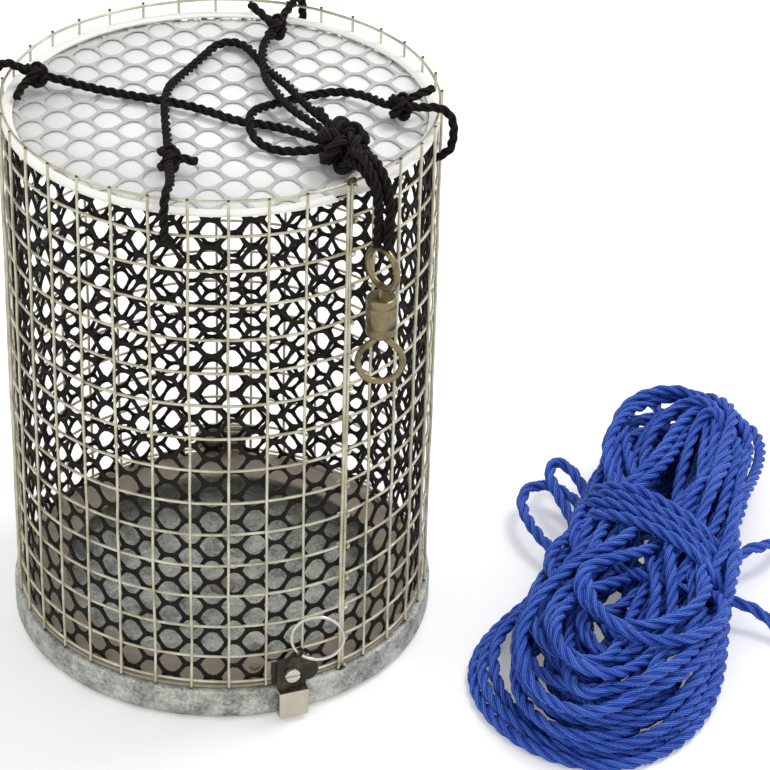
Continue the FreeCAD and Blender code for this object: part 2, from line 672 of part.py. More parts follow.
def tube(label, diameter, points, closed=False):
    """A plain round cord along a route; prints its length, tightest bend and volume ratio."""
    wire, radii = route_wire(points, closed)
    start = wire.Edges[0].valueAt(wire.Edges[0].FirstParameter)
    heading = wire.Edges[0].tangentAt(wire.Edges[0].FirstParameter)
    section = Part.Wire([Part.makeCircle(diameter / 2, start, heading)])
    shape = wire.makePipeShell([section], True, False)
    thing = doc.addObject("Part::Feature", label + "_shape")
    thing.Shape = shape
    ratio = shape.Volume / (math.pi * diameter ** 2 / 4 * wire.Length)
    print("%-16s length %6.1f  tightest %.1f diameters  volume ratio %.3f  lowest %.1f"
          % (label, wire.Length, min(radii) / diameter if radii else 0, ratio, shape.BoundBox.ZMin))
    return keep(thing, label)


def around(radius, angle, height):
    """A point at a radius and an angle from the front, at a height."""
    turn = math.radians(angle)
    return (radius * math.sin(turn), -radius * math.cos(turn), height)


# the grid radius and rim height at which the routes below are drawn
DRAWN_RADIUS = 73.5
DRAWN_RIM = 203.5


def fitted(x, y, z):
    """Move a drawn point to the cage's actual radius and height."""
    share = size("grid_radius") / DRAWN_RADIUS
    return Vector(x * share, y * share, z + size("cage_height") - DRAWN_RIM)


BRIDLE_LEGS = {
    "leg_left": [(-57.1, 15.0, 202.3), (-49.0, 13.4, 200.6), (-38.5, 9.6, 199.8), (-27.0, 5.5, 199.75),
                 (-14.0, 1.0, 199.75), (-3.5, -5.0, 199.75), (5.5, -12.0, 199.75), (15.5, -14.5, 199.75),
                 (24.5, -20.0, 200.2), (30.4, -28.0, 202.0)],
    "leg_front": [(-17.1, -36.6, 202.2), (-17.5, -26.0, 201.0), (-18.2, -16.0, 201.8), (-18.6, -6.5, 203.5),
                  (-17.6, 5.5, 203.5), (-14.6, 16.0, 201.2), (-10.5, 26.5, 199.8), (-5.5, 36.5, 199.75),
                  (-2.0, 44.0, 199.75), (3.5, 47.4, 199.75), (8.8, 43.5, 199.75), (12.0, 35.5, 199.75),
                  (15.0, 26.0, 199.9), (18.8, 15.5, 202.2), (22.6, 5.5, 203.7), (26.6, -5.0, 203.9),
                  (31.0, -14.5, 204.0), (36.2, -23.6, 204.4)],
    "leg_back": [(17.7, 46.6, 202.8), (15.4, 41.5, 203.2), (14.0, 33.5, 203.5), (14.2, 23.5, 203.5),
                 (14.8, 14.5, 202.6), (17.0, 4.5, 203.9), (19.8, -5.0, 204.6), (24.0, -15.0, 205.0),
                 (31.6, -26.4, 205.6)],
    "leg_right": [(53.9, -4.2, 202.2), (49.4, 4.4, 200.5), (41.0, 10.0, 199.8), (31.0, 7.5, 199.75),
                  (22.0, 2.5, 199.8), (14.6, -5.5, 202.0), (10.2, -12.0, 203.6), (8.8, -20.0, 203.6),
                  (10.6, -27.0, 201.2), (15.6, -31.4, 199.9), (21.6, -33.2, 199.9), (28.6, -35.0, 201.4)],
}

# knot centre (x, y, z) and half sizes, then the loop's rim angle
RIM_KNOTS = {
    "left": ((-62.4, 14.6, 203.2), (5.0, 4.6, 4.3), -103.5),
    "front": ((-17.0, -43.0, 202.6), (4.4, 5.6, 4.2), -13.4),
    "right": ((58.9, -7.0, 202.8), (4.6, 5.2, 4.4), 77.5),
    "back": ((18.6, 52.6, 202.6), (4.4, 5.6, 4.2), 158.5),
}

# (distance outside the grid's radius, height) along a rim loop
RIM_LOOP_PROFILE = [(-5.2, 206.6), (-0.4, 207.0), (3.2, 205.0), (4.6, 200.6), (4.4, 195.4),
                    (3.2, 190.6)]


KNOT_CLEARANCE = 0.8
SHORTEST_RUN = 2.5
LONGEST_LOOP_RUN = 13.0
LOOP_RISE = 0.9


def ellipsoid(label, centre, halves):
    """A knot's plain outer shape."""
    ball = Part.makeSphere(1)
    grow = FreeCAD.Matrix()
    grow.scale(*halves)
    shape = ball.transformGeometry(grow)
    thing = doc.addObject("Part::Feature", label + "_shape")
    thing.Shape = shape
    thing.Placement = FreeCAD.Placement(fitted(*centre), FreeCAD.Rotation())
    return keep(thing, label)


def loop_points(centre, halves, angle):
    """A rim loop's route: out of its knot, over the top wire and down outside the grid."""
    knot = fitted(*centre)
    rim_points = [fitted(*around(DRAWN_RADIUS + step, angle, height)) for step, height in RIM_LOOP_PROFILE]
    clear = max(halves) + KNOT_CLEARANCE + SHORTEST_RUN
    rim_points = [point for point in rim_points if (point - knot).Length > clear]
    gap = rim_points[0] - knot
    aim = gap * (1 / gap.Length)
    reach = KNOT_CLEARANCE + 1 / math.sqrt(sum((aim[axis] / halves[axis]) ** 2 for axis in range(3)))
    start = knot + aim * reach
    gap = rim_points[0] - start
    points = [start]
    steps = int(gap.Length // LONGEST_LOOP_RUN)
    for index in range(1, steps + 1):
        share = index / (steps + 1)
        points.append(start + gap * share + Vector(0, 0, LOOP_RISE * math.sin(math.pi * share)))
    return points + rim_points


MAIN_KNOT_CENTRE = (38.2, -36.6, 203.8)
MAIN_KNOT_HALVES = (7.2, 10.8, 5.5)
PENDANT_PROFILE = [(62.6, 205.0), (67.2, 206.9), (72.0, 208.4), (76.8, 208.0), (80.6, 204.6), (82.4, 199.0),
                   (82.8, 192.0), (82.8, 183.1)]
PENDANT_SWING = 3.5
PENDANT_SWING_STEPS = 3
PENDANT_TWIST = 100
PENDANT_RIM_SHARE = 0.4


def pendant_points(index):
    """One strand of the four-strand bundle from the main knot over the rim to the upper eye."""
    away = (size("bridle_dia") + size("strand_gap")) / math.sqrt(2)
    share = size("grid_radius") / DRAWN_RADIUS
    last = len(PENDANT_PROFILE) - 1
    points = []
    for step, (radius, height) in enumerate(PENDANT_PROFILE):
        before = PENDANT_PROFILE[max(step - 1, 0)]
        after = PENDANT_PROFILE[min(step + 1, last)]
        run = math.hypot(after[0] - before[0], after[1] - before[1])
        turn = math.radians(45 + 90 * index + PENDANT_TWIST * (step / last - PENDANT_RIM_SHARE))
        lift = away * math.sin(turn)
        radius += lift * (before[1] - after[1]) / run
        height += lift * (after[0] - before[0]) / run
        swing = PENDANT_SWING * max(0, 1 - step / PENDANT_SWING_STEPS)
        aside = math.degrees(away * math.cos(turn) / (radius * share))
        points.append(fitted(*around(radius, size("swivel_angle") + swing + aside, height)))
    return points


def make_bridle():
    """The legs, their rim knots and loops, the main knot and the four hanging strands."""
    diameter = size("bridle_dia")
    for label, points in BRIDLE_LEGS.items():
        tube(label, diameter, [fitted(*point) for point in points])
    for side, (centre, halves, angle) in RIM_KNOTS.items():
        ellipsoid("rim_knot_" + side, centre, halves)
        tube("rim_loop_" + side, diameter, loop_points(centre, halves, angle))
    ellipsoid("main_knot", MAIN_KNOT_CENTRE, MAIN_KNOT_HALVES)
    for index in range(4):
        tube("pendant_%d" % (index + 1), diameter, pendant_points(index))


HANK_OUTLINE = [
    (84.5, -52.0), (87.0, -30.0), (106.0, -14.0), (121.0, 8.0), (110.5, 30.0), (112.0, 52.0), (128.0, 70.0),
    (136.0, 95.0), (150.0, 113.0), (172.0, 117.0), (194.0, 112.0), (207.0, 96.0), (212.0, 74.0),
    (209.0, 48.0), (198.0, 22.0), (188.0, -6.0), (178.0, -36.0), (170.0, -62.0), (160.0, -84.0),
    (143.0, -100.0), (122.0, -105.0), (103.0, -98.0), (90.0, -78.0),
]
HANK_BASE = 0.3
HANK_TOP = 33.0
ROPE_END_UPPER = [(195.6, 8.9, 12.0), (200.5, 11.5, 11.0), (205.6, 17.0, 8.8), (208.4, 23.6, 6.2)]
ROPE_END_LOWER = [(183.2, -21.8, 10.5), (190.0, -23.6, 9.4), (196.6, -28.2, 6.8), (201.0, -34.0, 4.2)]


def make_hank():
    """The outer shape of the lying hank, and the rope's two free ends."""
    aside = Vector(size("grid_radius") - DRAWN_RADIUS, 0, 0)
    corners = [Vector(x, y, HANK_BASE) + aside for x, y in HANK_OUTLINE]
    outline, radii = route_wire(corners, True)
    slab = Part.Face(outline).extrude(Vector(0, 0, HANK_TOP - HANK_BASE))
    thing = doc.addObject("Part::Feature", "rope_hank_shape")
    thing.Shape = slab
    keep(thing, "rope_hank")
    diameter = size("rope_dia")
    tube("rope_end_upper", diameter, [Vector(*point) + aside for point in ROPE_END_UPPER])
    tube("rope_end_lower", diameter, [Vector(*point) + aside for point in ROPE_END_LOWER])


def check_and_write():
    """Stop on any failed object, then write each sub-part to its own file."""
    doc.recompute()
    for thing in doc.Objects:
        if "Invalid" in thing.State or "Error" in thing.State:
            raise RuntimeError("%s (%s) failed: %s" % (thing.Label, thing.Name, thing.State))
    os.makedirs("parts", exist_ok=True)
    for label, thing in parts.items():
        shape = thing.Shape
        if shape.isNull() or not shape.isValid():
            raise RuntimeError("%s has no valid shape" % label)
        shape.exportStep("parts/%s.step" % label)
    print("%d nodes written" % len(parts))


make_dish()
make_centre_rivet()
make_flange()
make_flange_rivets()
make_liner()
make_lid_net()
make_lid_ring()
make_vertical_wires()
make_ring_wires()
make_seam_rods()
make_base_leaf()
make_cage_leaf()
make_hinge_pin()
make_hinge_backing()
make_hinge_rivets()
make_bracket()
make_latch_backing()
make_latch_screw()
make_latch_strip()
make_pull_ring()
make_swivel()
make_bridle()
make_hank()
check_and_write()
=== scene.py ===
"""Looks of a round wire bait cage with its bridle, swivel, latch and hank of rope."""
import logging
import math
from dataclasses import dataclass
from enum import Enum
from typing import Any, Callable, Iterable, Sequence

import bmesh
import bpy
import numpy as np
from mathutils import Matrix, Vector


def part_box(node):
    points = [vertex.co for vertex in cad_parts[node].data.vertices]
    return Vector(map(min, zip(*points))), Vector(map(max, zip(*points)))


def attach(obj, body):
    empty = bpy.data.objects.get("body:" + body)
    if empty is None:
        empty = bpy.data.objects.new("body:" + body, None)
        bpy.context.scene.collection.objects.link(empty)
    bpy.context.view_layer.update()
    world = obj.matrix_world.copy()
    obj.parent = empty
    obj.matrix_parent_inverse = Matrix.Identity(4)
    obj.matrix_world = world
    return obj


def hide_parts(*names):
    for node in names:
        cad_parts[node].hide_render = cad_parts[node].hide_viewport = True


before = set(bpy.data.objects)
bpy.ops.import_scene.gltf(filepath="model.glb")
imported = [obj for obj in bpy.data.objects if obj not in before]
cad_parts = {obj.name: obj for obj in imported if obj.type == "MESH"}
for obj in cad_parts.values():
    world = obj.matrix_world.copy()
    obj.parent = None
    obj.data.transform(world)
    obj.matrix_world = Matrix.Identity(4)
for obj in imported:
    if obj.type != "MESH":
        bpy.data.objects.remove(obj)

LOG = logging.getLogger("bait_cage")
MM = 0.001
TURN = 2 * math.pi
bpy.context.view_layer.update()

Point = tuple[float, float, float]
Flat = tuple[float, float]
Colour = tuple[float, float, float]
Paint = tuple[float, float, float, float]


class Body(Enum):
    """The rigid bodies that pieces ride on."""
    BASE = "base"
    CAGE = "cage"
    BUTTON = "turn_button"
    RING = "pull_ring_body"
    BARREL = "barrel"
    LOWER_EYE = "lower_eye"


# --------------------------------------------------------------------------------------- nodes

def operator(operation: str, reflected: bool = False) -> Callable[["Wire", Any], "Wire"]:
    """Make an operator that adds one Math node."""
    def method(self: "Wire", other: Any) -> "Wire":
        """Join this value with another one."""
        return self.owner.math(operation, *((other, self) if reflected else (self, other)))
    return method


class Wire:
    """A node's output whose operators add Math nodes."""
    __add__, __radd__ = operator("ADD"), operator("ADD", True)
    __sub__, __rsub__ = operator("SUBTRACT"), operator("SUBTRACT", True)
    __mul__, __rmul__ = operator("MULTIPLY"), operator("MULTIPLY", True)
    __truediv__, __rtruediv__ = operator("DIVIDE"), operator("DIVIDE", True)

    def __init__(self, owner: "Nodes", socket: Any) -> None:
        """Wrap one output socket of a tree being built."""
        self.owner = owner
        self.socket = socket

    def beside(self, output: Any) -> "Wire":
        """Another output of the same node."""
        return Wire(self.owner, self.socket.node.outputs[output])


class Nodes:
    """A node tree under construction."""

    def __init__(self, tree: bpy.types.NodeTree, prefix: str = "") -> None:
        """Take the tree that nodes go into, and what its own node types start with."""
        self.tree = tree
        self.prefix = prefix

    def node(self, kind: str, numbered: dict[int, Any] | None = None, output: Any = 0,
             **named: Any) -> Wire:
        """Add a node.

        Args:
            kind: the node's type; a tree's own types go without their prefix.
            numbered: values or wires by socket number.
            output: the output socket to wrap.
            named: settings in lower case, which are set first, and values or wires by socket
                name, with underscores for spaces.

        Returns:
            The wrapped output.
        """
        shared = kind.startswith(("ShaderNode", "FunctionNode"))
        made = self.tree.nodes.new(kind if shared else self.prefix + kind)
        for key, value in named.items():
            if key == "stops":
                self._stops(made.color_ramp, value)
            elif key[0].islower():
                setattr(made, key, value)
        for key, value in named.items():
            if not key[0].islower():
                self.plug(made.inputs[key.replace("_", " ")], value)
        for key, value in (numbered or {}).items():
            self.plug(made.inputs[key], value)
        return Wire(self, made.outputs[output])

    @staticmethod
    def _stops(ramp: Any, stops: Sequence[tuple[float, Colour]]) -> None:
        """Set a colour ramp's stops."""
        while len(ramp.elements) < len(stops):
            ramp.elements.new(0.5)
        for element, (place, colour) in zip(ramp.elements, stops):
            element.position = place
            element.color = solid(colour)

    def plug(self, socket: Any, value: Any) -> None:
        """Link a wire or several to a socket, or set its value."""
        for one in value if isinstance(value, list) else [value]:
            if isinstance(one, Wire):
                self.tree.links.new(one.socket, socket)
            else:
                socket.default_value = one

    def math(self, operation: str, *values: Any) -> Wire:
        """Add a Math node of one operation."""
        return self.node("ShaderNodeMath", dict(enumerate(values)), operation=operation)


class Shade(Nodes):
    """A material under construction."""

    def __init__(self, name: str) -> None:
        """Start a material with an empty tree and a Principled shader."""
        self.material = bpy.data.materials.new(name)
        self.material.use_nodes = True
        super().__init__(self.material.node_tree)
        self.tree.nodes.clear()
        self.shader = self.tree.nodes.new("ShaderNodeBsdfPrincipled")
        out = self.tree.nodes.new("ShaderNodeOutputMaterial")
        self.tree.links.new(self.shader.outputs[0], out.inputs[0])

    def ramp(self, value: Wire, *stops: tuple[float, Colour]) -> Wire:
        """Map a value to colours."""
        return self.node("ShaderNodeValToRGB", {0: value}, stops=stops)

    def between(self, value: Wire, low: float, high: float) -> Wire:
        """Stretch a value so that low reads 0 and high reads 1."""
        return self.node("ShaderNodeMapRange", clamp=True, Value=value, From_Min=low, From_Max=high)

    def above(self, place: Wire, height: float, blur: float) -> Wire:
        """A mask of what lies above a height."""
        level = self.node("ShaderNodeSeparateXYZ", output=2, Vector=place)
        return self.between(level, height - blur, height + blur)

    def place(self) -> Wire:
        """Object coordinates."""
        return self.node("ShaderNodeTexCoord", output="Object")

    def noise(self, place: Wire, scale: float, detail: float = 3.0, rough: float = 0.5) -> Wire:
        """Fractal noise at a place."""
        return self.node("ShaderNodeTexNoise", Vector=place, Scale=scale, Detail=detail,
                         Roughness=rough)

    def mix(self, share: Any, first: Wire | Paint, second: Wire | Paint) -> Wire:
        """Blend two colours."""
        return self.node("ShaderNodeMix", {0: share, 6: first, 7: second}, 2, data_type="RGBA")

    def bump(self, height: Wire, strength: float, distance: float) -> None:
        """Send a height to the shader's normal."""
        self.feed(Normal=self.node("ShaderNodeBump", Strength=strength, Distance=distance,
                                   Height=height))

    def feed(self, **sockets: Any) -> None:
        """Set or link the shader's sockets, with underscores for spaces."""
        for name, value in sockets.items():
            self.plug(self.shader.inputs[name.replace("_", " ")], value)


def lit(red: int, green: int, blue: int) -> Colour:
    """Turn a display colour into the linear one that shaders take."""
    return tuple((c / 255 / 12.92) if c < 11 else ((c / 255 + 0.055) / 1.055) ** 2.4
                 for c in (red, green, blue))


def solid(colour: Colour, factor: float = 1.0) -> Paint:
    """A darker or lighter copy of a colour, with alpha."""
    return tuple(min(1.0, c * factor) for c in colour) + (1.0,)


@dataclass(frozen=True)
class Finish:
    """A look that makes one material."""
    name: str

    def material(self) -> bpy.types.Material:
        """Build the material."""
        shade = Shade(self.name)
        self.paint(shade, shade.place())
        return shade.material

    def paint(self, shade: Shade, place: Wire) -> None:
        """Feed the shader from object coordinates."""
        raise NotImplementedError


@dataclass(frozen=True)
class MottledZinc(Finish):
    """Galvanised casting: soft spangle, cloudy tone and darker pits."""
    name: str = "mottled_zinc"
    pale: Colour = lit(218, 220, 212)
    dark: Colour = lit(112, 116, 108)
    stain: Colour = lit(76, 80, 70)
    spangle_per_m: float = 260.0

    def paint(self, shade: Shade, place: Wire) -> None:
        """Feed the shader from object coordinates."""
        cells = shade.node("ShaderNodeTexVoronoi", output="Color", Vector=place,
                           Scale=self.spangle_per_m)
        spangle = shade.node("ShaderNodeSeparateColor", Color=cells)
        cloud = shade.noise(place, 95.0, 5.0, 0.62)
        fine = shade.noise(place, 900.0, 3.0, 0.6)
        tone = spangle * 0.14 + cloud * 0.85 + fine * 0.6
        middle = tuple((a + b) / 2 for a, b in zip(self.pale, self.dark))
        body = shade.ramp(tone, (0.6, self.dark), (0.8, middle), (1.0, self.pale))
        pits = shade.between(shade.noise(place, 330.0, 4.0, 0.7), 0.66, 0.74)
        shade.feed(Base_Color=shade.mix(pits * 0.6, body, solid(self.stain)), Metallic=0.25,
                   Roughness=0.42 + cloud * 0.25)
        shade.bump(cloud * 0.6 + fine * 0.4 - pits, 0.35, 0.0004)


@dataclass(frozen=True)
class PlatedWire(Finish):
    """Pale plated wire with dark cut tips and faint drawing marks."""
    name: str = "plated_wire"
    pale: Colour = lit(236, 234, 216)
    dull: Colour = lit(176, 170, 138)
    tip: Colour = lit(70, 60, 40)
    tip_low: float = 0.0131
    tip_high: float = 0.2039
    metallic: float = 0.55

    def paint(self, shade: Shade, place: Wire) -> None:
        """Feed the shader from object coordinates."""
        blotch = shade.noise(place, 120.0, 4.0, 0.6)
        grain = shade.noise(place, 2200.0, 2.0, 0.6)
        tone = shade.between(blotch + grain * 0.25, 0.42, 0.82)
        body = shade.mix(tone, solid(self.dull), solid(self.pale))
        tips = shade.above(place, self.tip_high, 0.0002) + (
            1.0 - shade.above(place, self.tip_low, 0.0002))
        shade.feed(Base_Color=shade.mix(tips, body, solid(self.tip)), Metallic=self.metallic,
                   Roughness=0.3 + blotch * 0.25)
        shade.bump(grain, 0.2, 0.0001)


@dataclass(frozen=True)
class CoatedNet(Finish):
    """Moulded net with a slightly uneven matt skin."""
    colour: Colour
    rough: float = 0.6
    spread: float = 0.35
    gloss: float = 0.5

    def paint(self, shade: Shade, place: Wire) -> None:
        """Feed the shader from object coordinates."""
        blotch = shade.noise(place, 140.0, 4.0, 0.55)
        grain = shade.noise(place, 1500.0, 3.0, 0.6)
        low, high = solid(self.colour, 1 - self.spread), solid(self.colour, 1 + self.spread)
        shade.feed(Base_Color=shade.mix(blotch, low, high), Specular_IOR_Level=self.gloss,
                   Roughness=self.rough + grain * 0.2 - 0.1)
        shade.bump(blotch * 0.5 + grain * 0.5, 0.25, 0.0002)


@dataclass(frozen=True)
class SheetMetal(Finish):
    """Stamped sheet: a base tone, faint rolling marks, dull patches and some tarnish; a dark upper colour,
    when given, is painted reflection of dark surroundings above a height.
    """
    colour: Colour
    tarnish: Colour
    metallic: float = 0.6
    rough: float = 0.38
    amount: float = 0.35
    upper: Colour | None = None
    reflection_from: float = 0.0125

    def paint(self, shade: Shade, place: Wire) -> None:
        """Feed the shader from object coordinates."""
        blotch = shade.noise(place, 160.0, 5.0, 0.6)
        scratch = shade.node("ShaderNodeMapping", Vector=place, Scale=(1.0, 1.0, 14.0))
        marks = shade.noise(scratch, 700.0, 3.0, 0.65)
        dirt = shade.between(blotch, 0.48, 0.78)
        tone = shade.mix(marks * 0.5, solid(self.colour, 0.86), solid(self.colour, 1.12))
        colour = shade.mix(dirt * self.amount, tone, solid(self.tarnish))
        # Painted reflection: above this height the sheet takes a dark colour standing for dark surroundings
        # it mirrors, with some tarnish mixed in.
        if self.upper is not None:
            reflection_and_tarnish = shade.mix(dirt * 0.5, solid(self.upper), solid(self.tarnish))
            colour = shade.mix(shade.above(place, self.reflection_from, 0.0001), colour, reflection_and_tarnish)
        shade.feed(Base_Color=colour, Metallic=self.metallic,
                   Roughness=self.rough + blotch * 0.2 - 0.05)
        shade.bump(marks * 0.6 + blotch * 0.4, 0.18, 0.0002)


@dataclass(frozen=True)
class LaidFibre(Finish):
    """Twisted fibre: yarns run along each strand, read from the cord's own map; the grooves between strands
    are darkened in colour as painted shade.
    """
    colour: Colour
    light: Colour
    dark: Colour
    yarns: float
    slant: float
    rough: float
    gloss: float

    def paint(self, shade: Shade, place: Wire) -> None:
        """Feed the shader from the map and object coordinates."""
        lay = shade.node("ShaderNodeUVMap", uv_map="lay")
        strand = shade.node("ShaderNodeSeparateXYZ", Vector=lay)
        along = strand.beside(1)
        line = shade.math("SINE", (strand * self.yarns + along * self.slant) * TURN)
        off = shade.math("ABSOLUTE", shade.math("FRACT", strand) - 0.5)
        groove = shade.between(off, 0.27, 0.5)
        fuzz = shade.noise(place, 1800.0, 4.0, 0.7)
        patch = shade.noise(place, 60.0, 2.0, 0.5)
        ridge = line * 0.5 + 0.5
        # Painted shade: the colour darkens in the grooves between strands; the bump sinks them as well.
        tone = ridge * 0.42 + fuzz * 0.5 + patch * 0.35 - groove * 0.26
        shade.feed(Base_Color=shade.ramp(tone, (0.25, self.dark), (0.6, self.colour),
                                         (0.98, self.light)),
                   Roughness=self.rough + fuzz * 0.2 - 0.1, Specular_IOR_Level=self.gloss)
        shade.bump(ridge * 0.7 + fuzz * 0.5 - groove * 1.7, 0.6, 0.0004)


# ------------------------------------------------------------------------------- geometry nodes

class ShapeTree(Nodes):
    """A geometry node tree with named inputs that ends in Realize Instances and Set Material."""

    def __init__(self, name: str, whole: Iterable[str] = (), **inputs: float) -> None:
        """Start a tree.

        Args:
            name: the tree's name.
            whole: the inputs that are whole numbers.
            inputs: the default of each named input, with underscores for spaces.
        """
        super().__init__(bpy.data.node_groups.new(name, "GeometryNodeTree"), "GeometryNode")
        face = self.tree.interface
        for label, value in inputs.items():
            kind = "NodeSocketInt" if label in whole else "NodeSocketFloat"
            face.new_socket(label.replace("_", " "), in_out="INPUT",
                            socket_type=kind).default_value = value
        face.new_socket("Finish", in_out="INPUT", socket_type="NodeSocketMaterial")
        face.new_socket("Geometry", in_out="OUTPUT", socket_type="NodeSocketGeometry")
        self.entry = self.tree.nodes.new("NodeGroupInput")
        self.exit = self.tree.nodes.new("NodeGroupOutput")

    def sizes(self, *labels: str) -> list[Wire]:
        """Named inputs."""
        return [Wire(self, self.entry.outputs[label]) for label in labels]

    def up(self, height: Wire) -> Wire:
        """A vector that points up by a number."""
        return self.vector(0.0, 0.0, height)

    def vector(self, across: Any, deep: Any, up: Any) -> Wire:
        """A vector from three numbers."""
        return self.node("ShaderNodeCombineXYZ", {0: across, 1: deep, 2: up})

    def here(self) -> tuple[Wire, Wire, Wire]:
        """The three coordinates of each point."""
        across = self.node("ShaderNodeSeparateXYZ", {0: self.node("InputPosition")})
        return across, across.beside(1), across.beside(2)

    def hypot(self, across: Wire, deep: Wire) -> Wire:
        """The distance from the axis."""
        return self.math("SQRT", across * across + deep * deep)

    def shaken(self, geometry: Wire, amount: Wire, scale: float, seed: Wire) -> Wire:
        """Move points by smooth noise of a size and seed."""
        noise = self.node("ShaderNodeTexNoise", output=1, noise_dimensions="4D", W=seed, Scale=scale,
                          Detail=1.0)
        centred = self.node("ShaderNodeVectorMath", {0: noise, 1: (0.5, 0.5, 0.5)},
                            operation="SUBTRACT")
        offset = self.node("ShaderNodeVectorMath", {0: centred}, operation="SCALE", Scale=amount)
        return self.node("SetPosition", Geometry=geometry, Offset=offset)

    def finish(self, geometry: Wire, smooth: bool = True) -> "ShapeTree":
        """Realize, shade and set the material."""
        real = self.node("RealizeInstances", Geometry=geometry)
        shaded = self.node("SetShadeSmooth", Geometry=real, Shade_Smooth=smooth)
        dressed = self.node("SetMaterial", Geometry=shaded, Material=self.sizes("Finish")[0])
        self.tree.links.new(dressed.socket, self.exit.inputs[0])
        return self

    def wavering(self, geometry: Wire, scale: float) -> "ShapeTree":
        """Finish curves as round wire that wavers by the inputs Wobble and Seed."""
        wobble, seed, wire = self.sizes("Wobble", "Seed", "Wire")
        real = self.node("RealizeInstances", Geometry=geometry)
        ring = self.node("CurvePrimitiveCircle", Resolution=8, Radius=wire / 2.0)
        return self.finish(self.node("CurveToMesh", Curve=self.shaken(real, wobble, scale, seed),
                                     Profile_Curve=ring, Fill_Caps=True))

    def ladder(self, rung: Wire, **turned: Wire) -> Wire:
        """Repeat a curve downwards by the inputs Count, Pitch and Top."""
        count, pitch, top = self.sizes("Count", "Pitch", "Top")
        line = self.node("MeshLine", Count=count, Offset=self.up(pitch * -1.0),
                         Start_Location=self.up(top))
        return self.node("InstanceOnPoints", Points=line, Instance=rung, **turned)

    def make(self, name: str, finish: bpy.types.Material, **sizes: float) -> bpy.types.Object:
        """Evaluate the tree once into a plain mesh.

        Args:
            name: the new object's name.
            finish: the material that the tree sets.
            sizes: values of named inputs, with underscores for spaces.

        Returns:
            An object that holds the evaluated mesh and no modifier.
        """
        thing = linked(name, bpy.data.meshes.new(name + "_seed"))
        modifier = thing.modifiers.new("shape", "NODES")
        modifier.node_group = self.tree
        named = {item.name: item.identifier for item in self.tree.interface.items_tree
                 if item.in_out == "INPUT"}
        for label, value in {**sizes, "Finish": finish}.items():
            modifier[named[label.replace("_", " ")]] = value
        return baked(thing)


# ----------------------------------------------------------------------------------- mesh tools

def linked(name: str, data: Any) -> bpy.types.Object:
    """Make an object of some data and put it in the scene."""
    thing = bpy.data.objects.new(name, data)
    bpy.context.scene.collection.objects.link(thing)
    return thing


def baked(thing: bpy.types.Object) -> bpy.types.Object:
    """Turn an object's modifiers into a plain mesh."""
    seen = thing.evaluated_get(bpy.context.evaluated_depsgraph_get())
    mesh = bpy.data.meshes.new_from_object(seen)
    thing.modifiers.clear()
    thing.data = mesh
    mesh.name = thing.name
    return thing


def smoothed(thing: bpy.types.Object) -> bpy.types.Object:
    """Shade all faces smoothly."""
    thing.data.polygons.foreach_set("use_smooth", [True] * len(thing.data.polygons))
    return thing


def new_object(name: str, verts: Iterable[Sequence[float]], faces: Iterable[Sequence[int]],
               finish: bpy.types.Material) -> bpy.types.Object:
    """Make a smooth object from points in metres and the point numbers of each face."""
    mesh = bpy.data.meshes.new(name)
    mesh.from_pydata([tuple(p) for p in verts], [], [tuple(f) for f in faces])
    mesh.materials.append(finish)
    thing = smoothed(linked(name, mesh))
    mesh.update()
    return thing


def band(low: int, high: int, count: int) -> list[tuple[int, ...]]:
    """Faces between two rings of points, from the number of each ring's first point."""
    return [(low + k, low + (k + 1) % count, high + (k + 1) % count, high + k)
            for k in range(count)]


def caps(first: int, last: int, count: int) -> list[tuple[int, ...]]:
    """The faces that close a tube's first and last rings."""
    return [tuple(first + k for k in reversed(range(count))), tuple(last + k for k in range(count))]


def turned(name: str, outline: Sequence[Flat], centre: Vector, finish: bpy.types.Material,
           segments: int) -> bpy.types.Object:
    """Turn an outline of (radius, height) in millimetres about a vertical axis.

    Args:
        name: the object's name.
        outline: corners from the axis below, outwards and up, back to the axis.
        centre: a point on the axis at height zero.
        finish: its material.
        segments: faces round the axis.

    Returns:
        The closed object.
    """
    angles = np.linspace(0, TURN, segments, endpoint=False)
    low, *middle, high = [(radius * MM, centre.z + height * MM) for radius, height in outline]
    verts = [(centre.x, centre.y, low[1])]
    verts += [(centre.x + radius * math.cos(a), centre.y + radius * math.sin(a), height)
              for radius, height in middle for a in angles]
    verts.append((centre.x, centre.y, high[1]))
    top = len(verts) - 1
    faces = [(0, second, first) for _, _, second, first in band(0, 1, segments)]
    for row in range(1, top - segments, segments):
        faces += band(row, row + segments, segments)
    faces += [(first, second, top) for first, second, _, _ in band(top - segments, 0, segments)]
    return new_object(name, verts, faces, finish)


def arc(across: float, up: float, radius: float, start: float, end: float, steps: int
        ) -> list[Flat]:
    """Points of an outline's round corner about a centre; angles in degrees."""
    angles = [math.radians(start + (end - start) * i / steps) for i in range(steps + 1)]
    return [(across + radius * math.cos(a), up + radius * math.sin(a)) for a in angles]


def route_line(points: Sequence[Sequence[float]]) -> np.ndarray:
    """Read a cord's smooth centreline from a NURBS spline with these control points in metres."""
    curve = bpy.data.curves.new("route", "CURVE")
    curve.dimensions = "3D"
    curve.resolution_u = 8
    spline = curve.splines.new("NURBS")
    spline.points.add(len(points) - 1)
    for slot, point in zip(spline.points, points):
        slot.co = (*point, 1.0)
    spline.order_u = 3
    spline.use_endpoint_u = True
    holder = linked("route", curve)
    mesh = bpy.data.meshes.new_from_object(holder)
    line = np.array([v.co for v in mesh.vertices], float)
    bpy.data.objects.remove(holder)
    bpy.data.meshes.remove(mesh)
    bpy.data.curves.remove(curve)
    return line


def run_along(line: np.ndarray) -> np.ndarray:
    """The distance of each point from a line's start."""
    return np.concatenate([[0], np.cumsum(np.linalg.norm(np.diff(line, axis=0), axis=1))])


def evenly(line: np.ndarray, step: float) -> np.ndarray:
    """Space points evenly along a line."""
    run = run_along(line)
    wanted = np.linspace(0, run[-1], max(4, int(round(run[-1] / step)) + 1))
    return np.stack([np.interp(wanted, run, line[:, k]) for k in range(3)], axis=1)


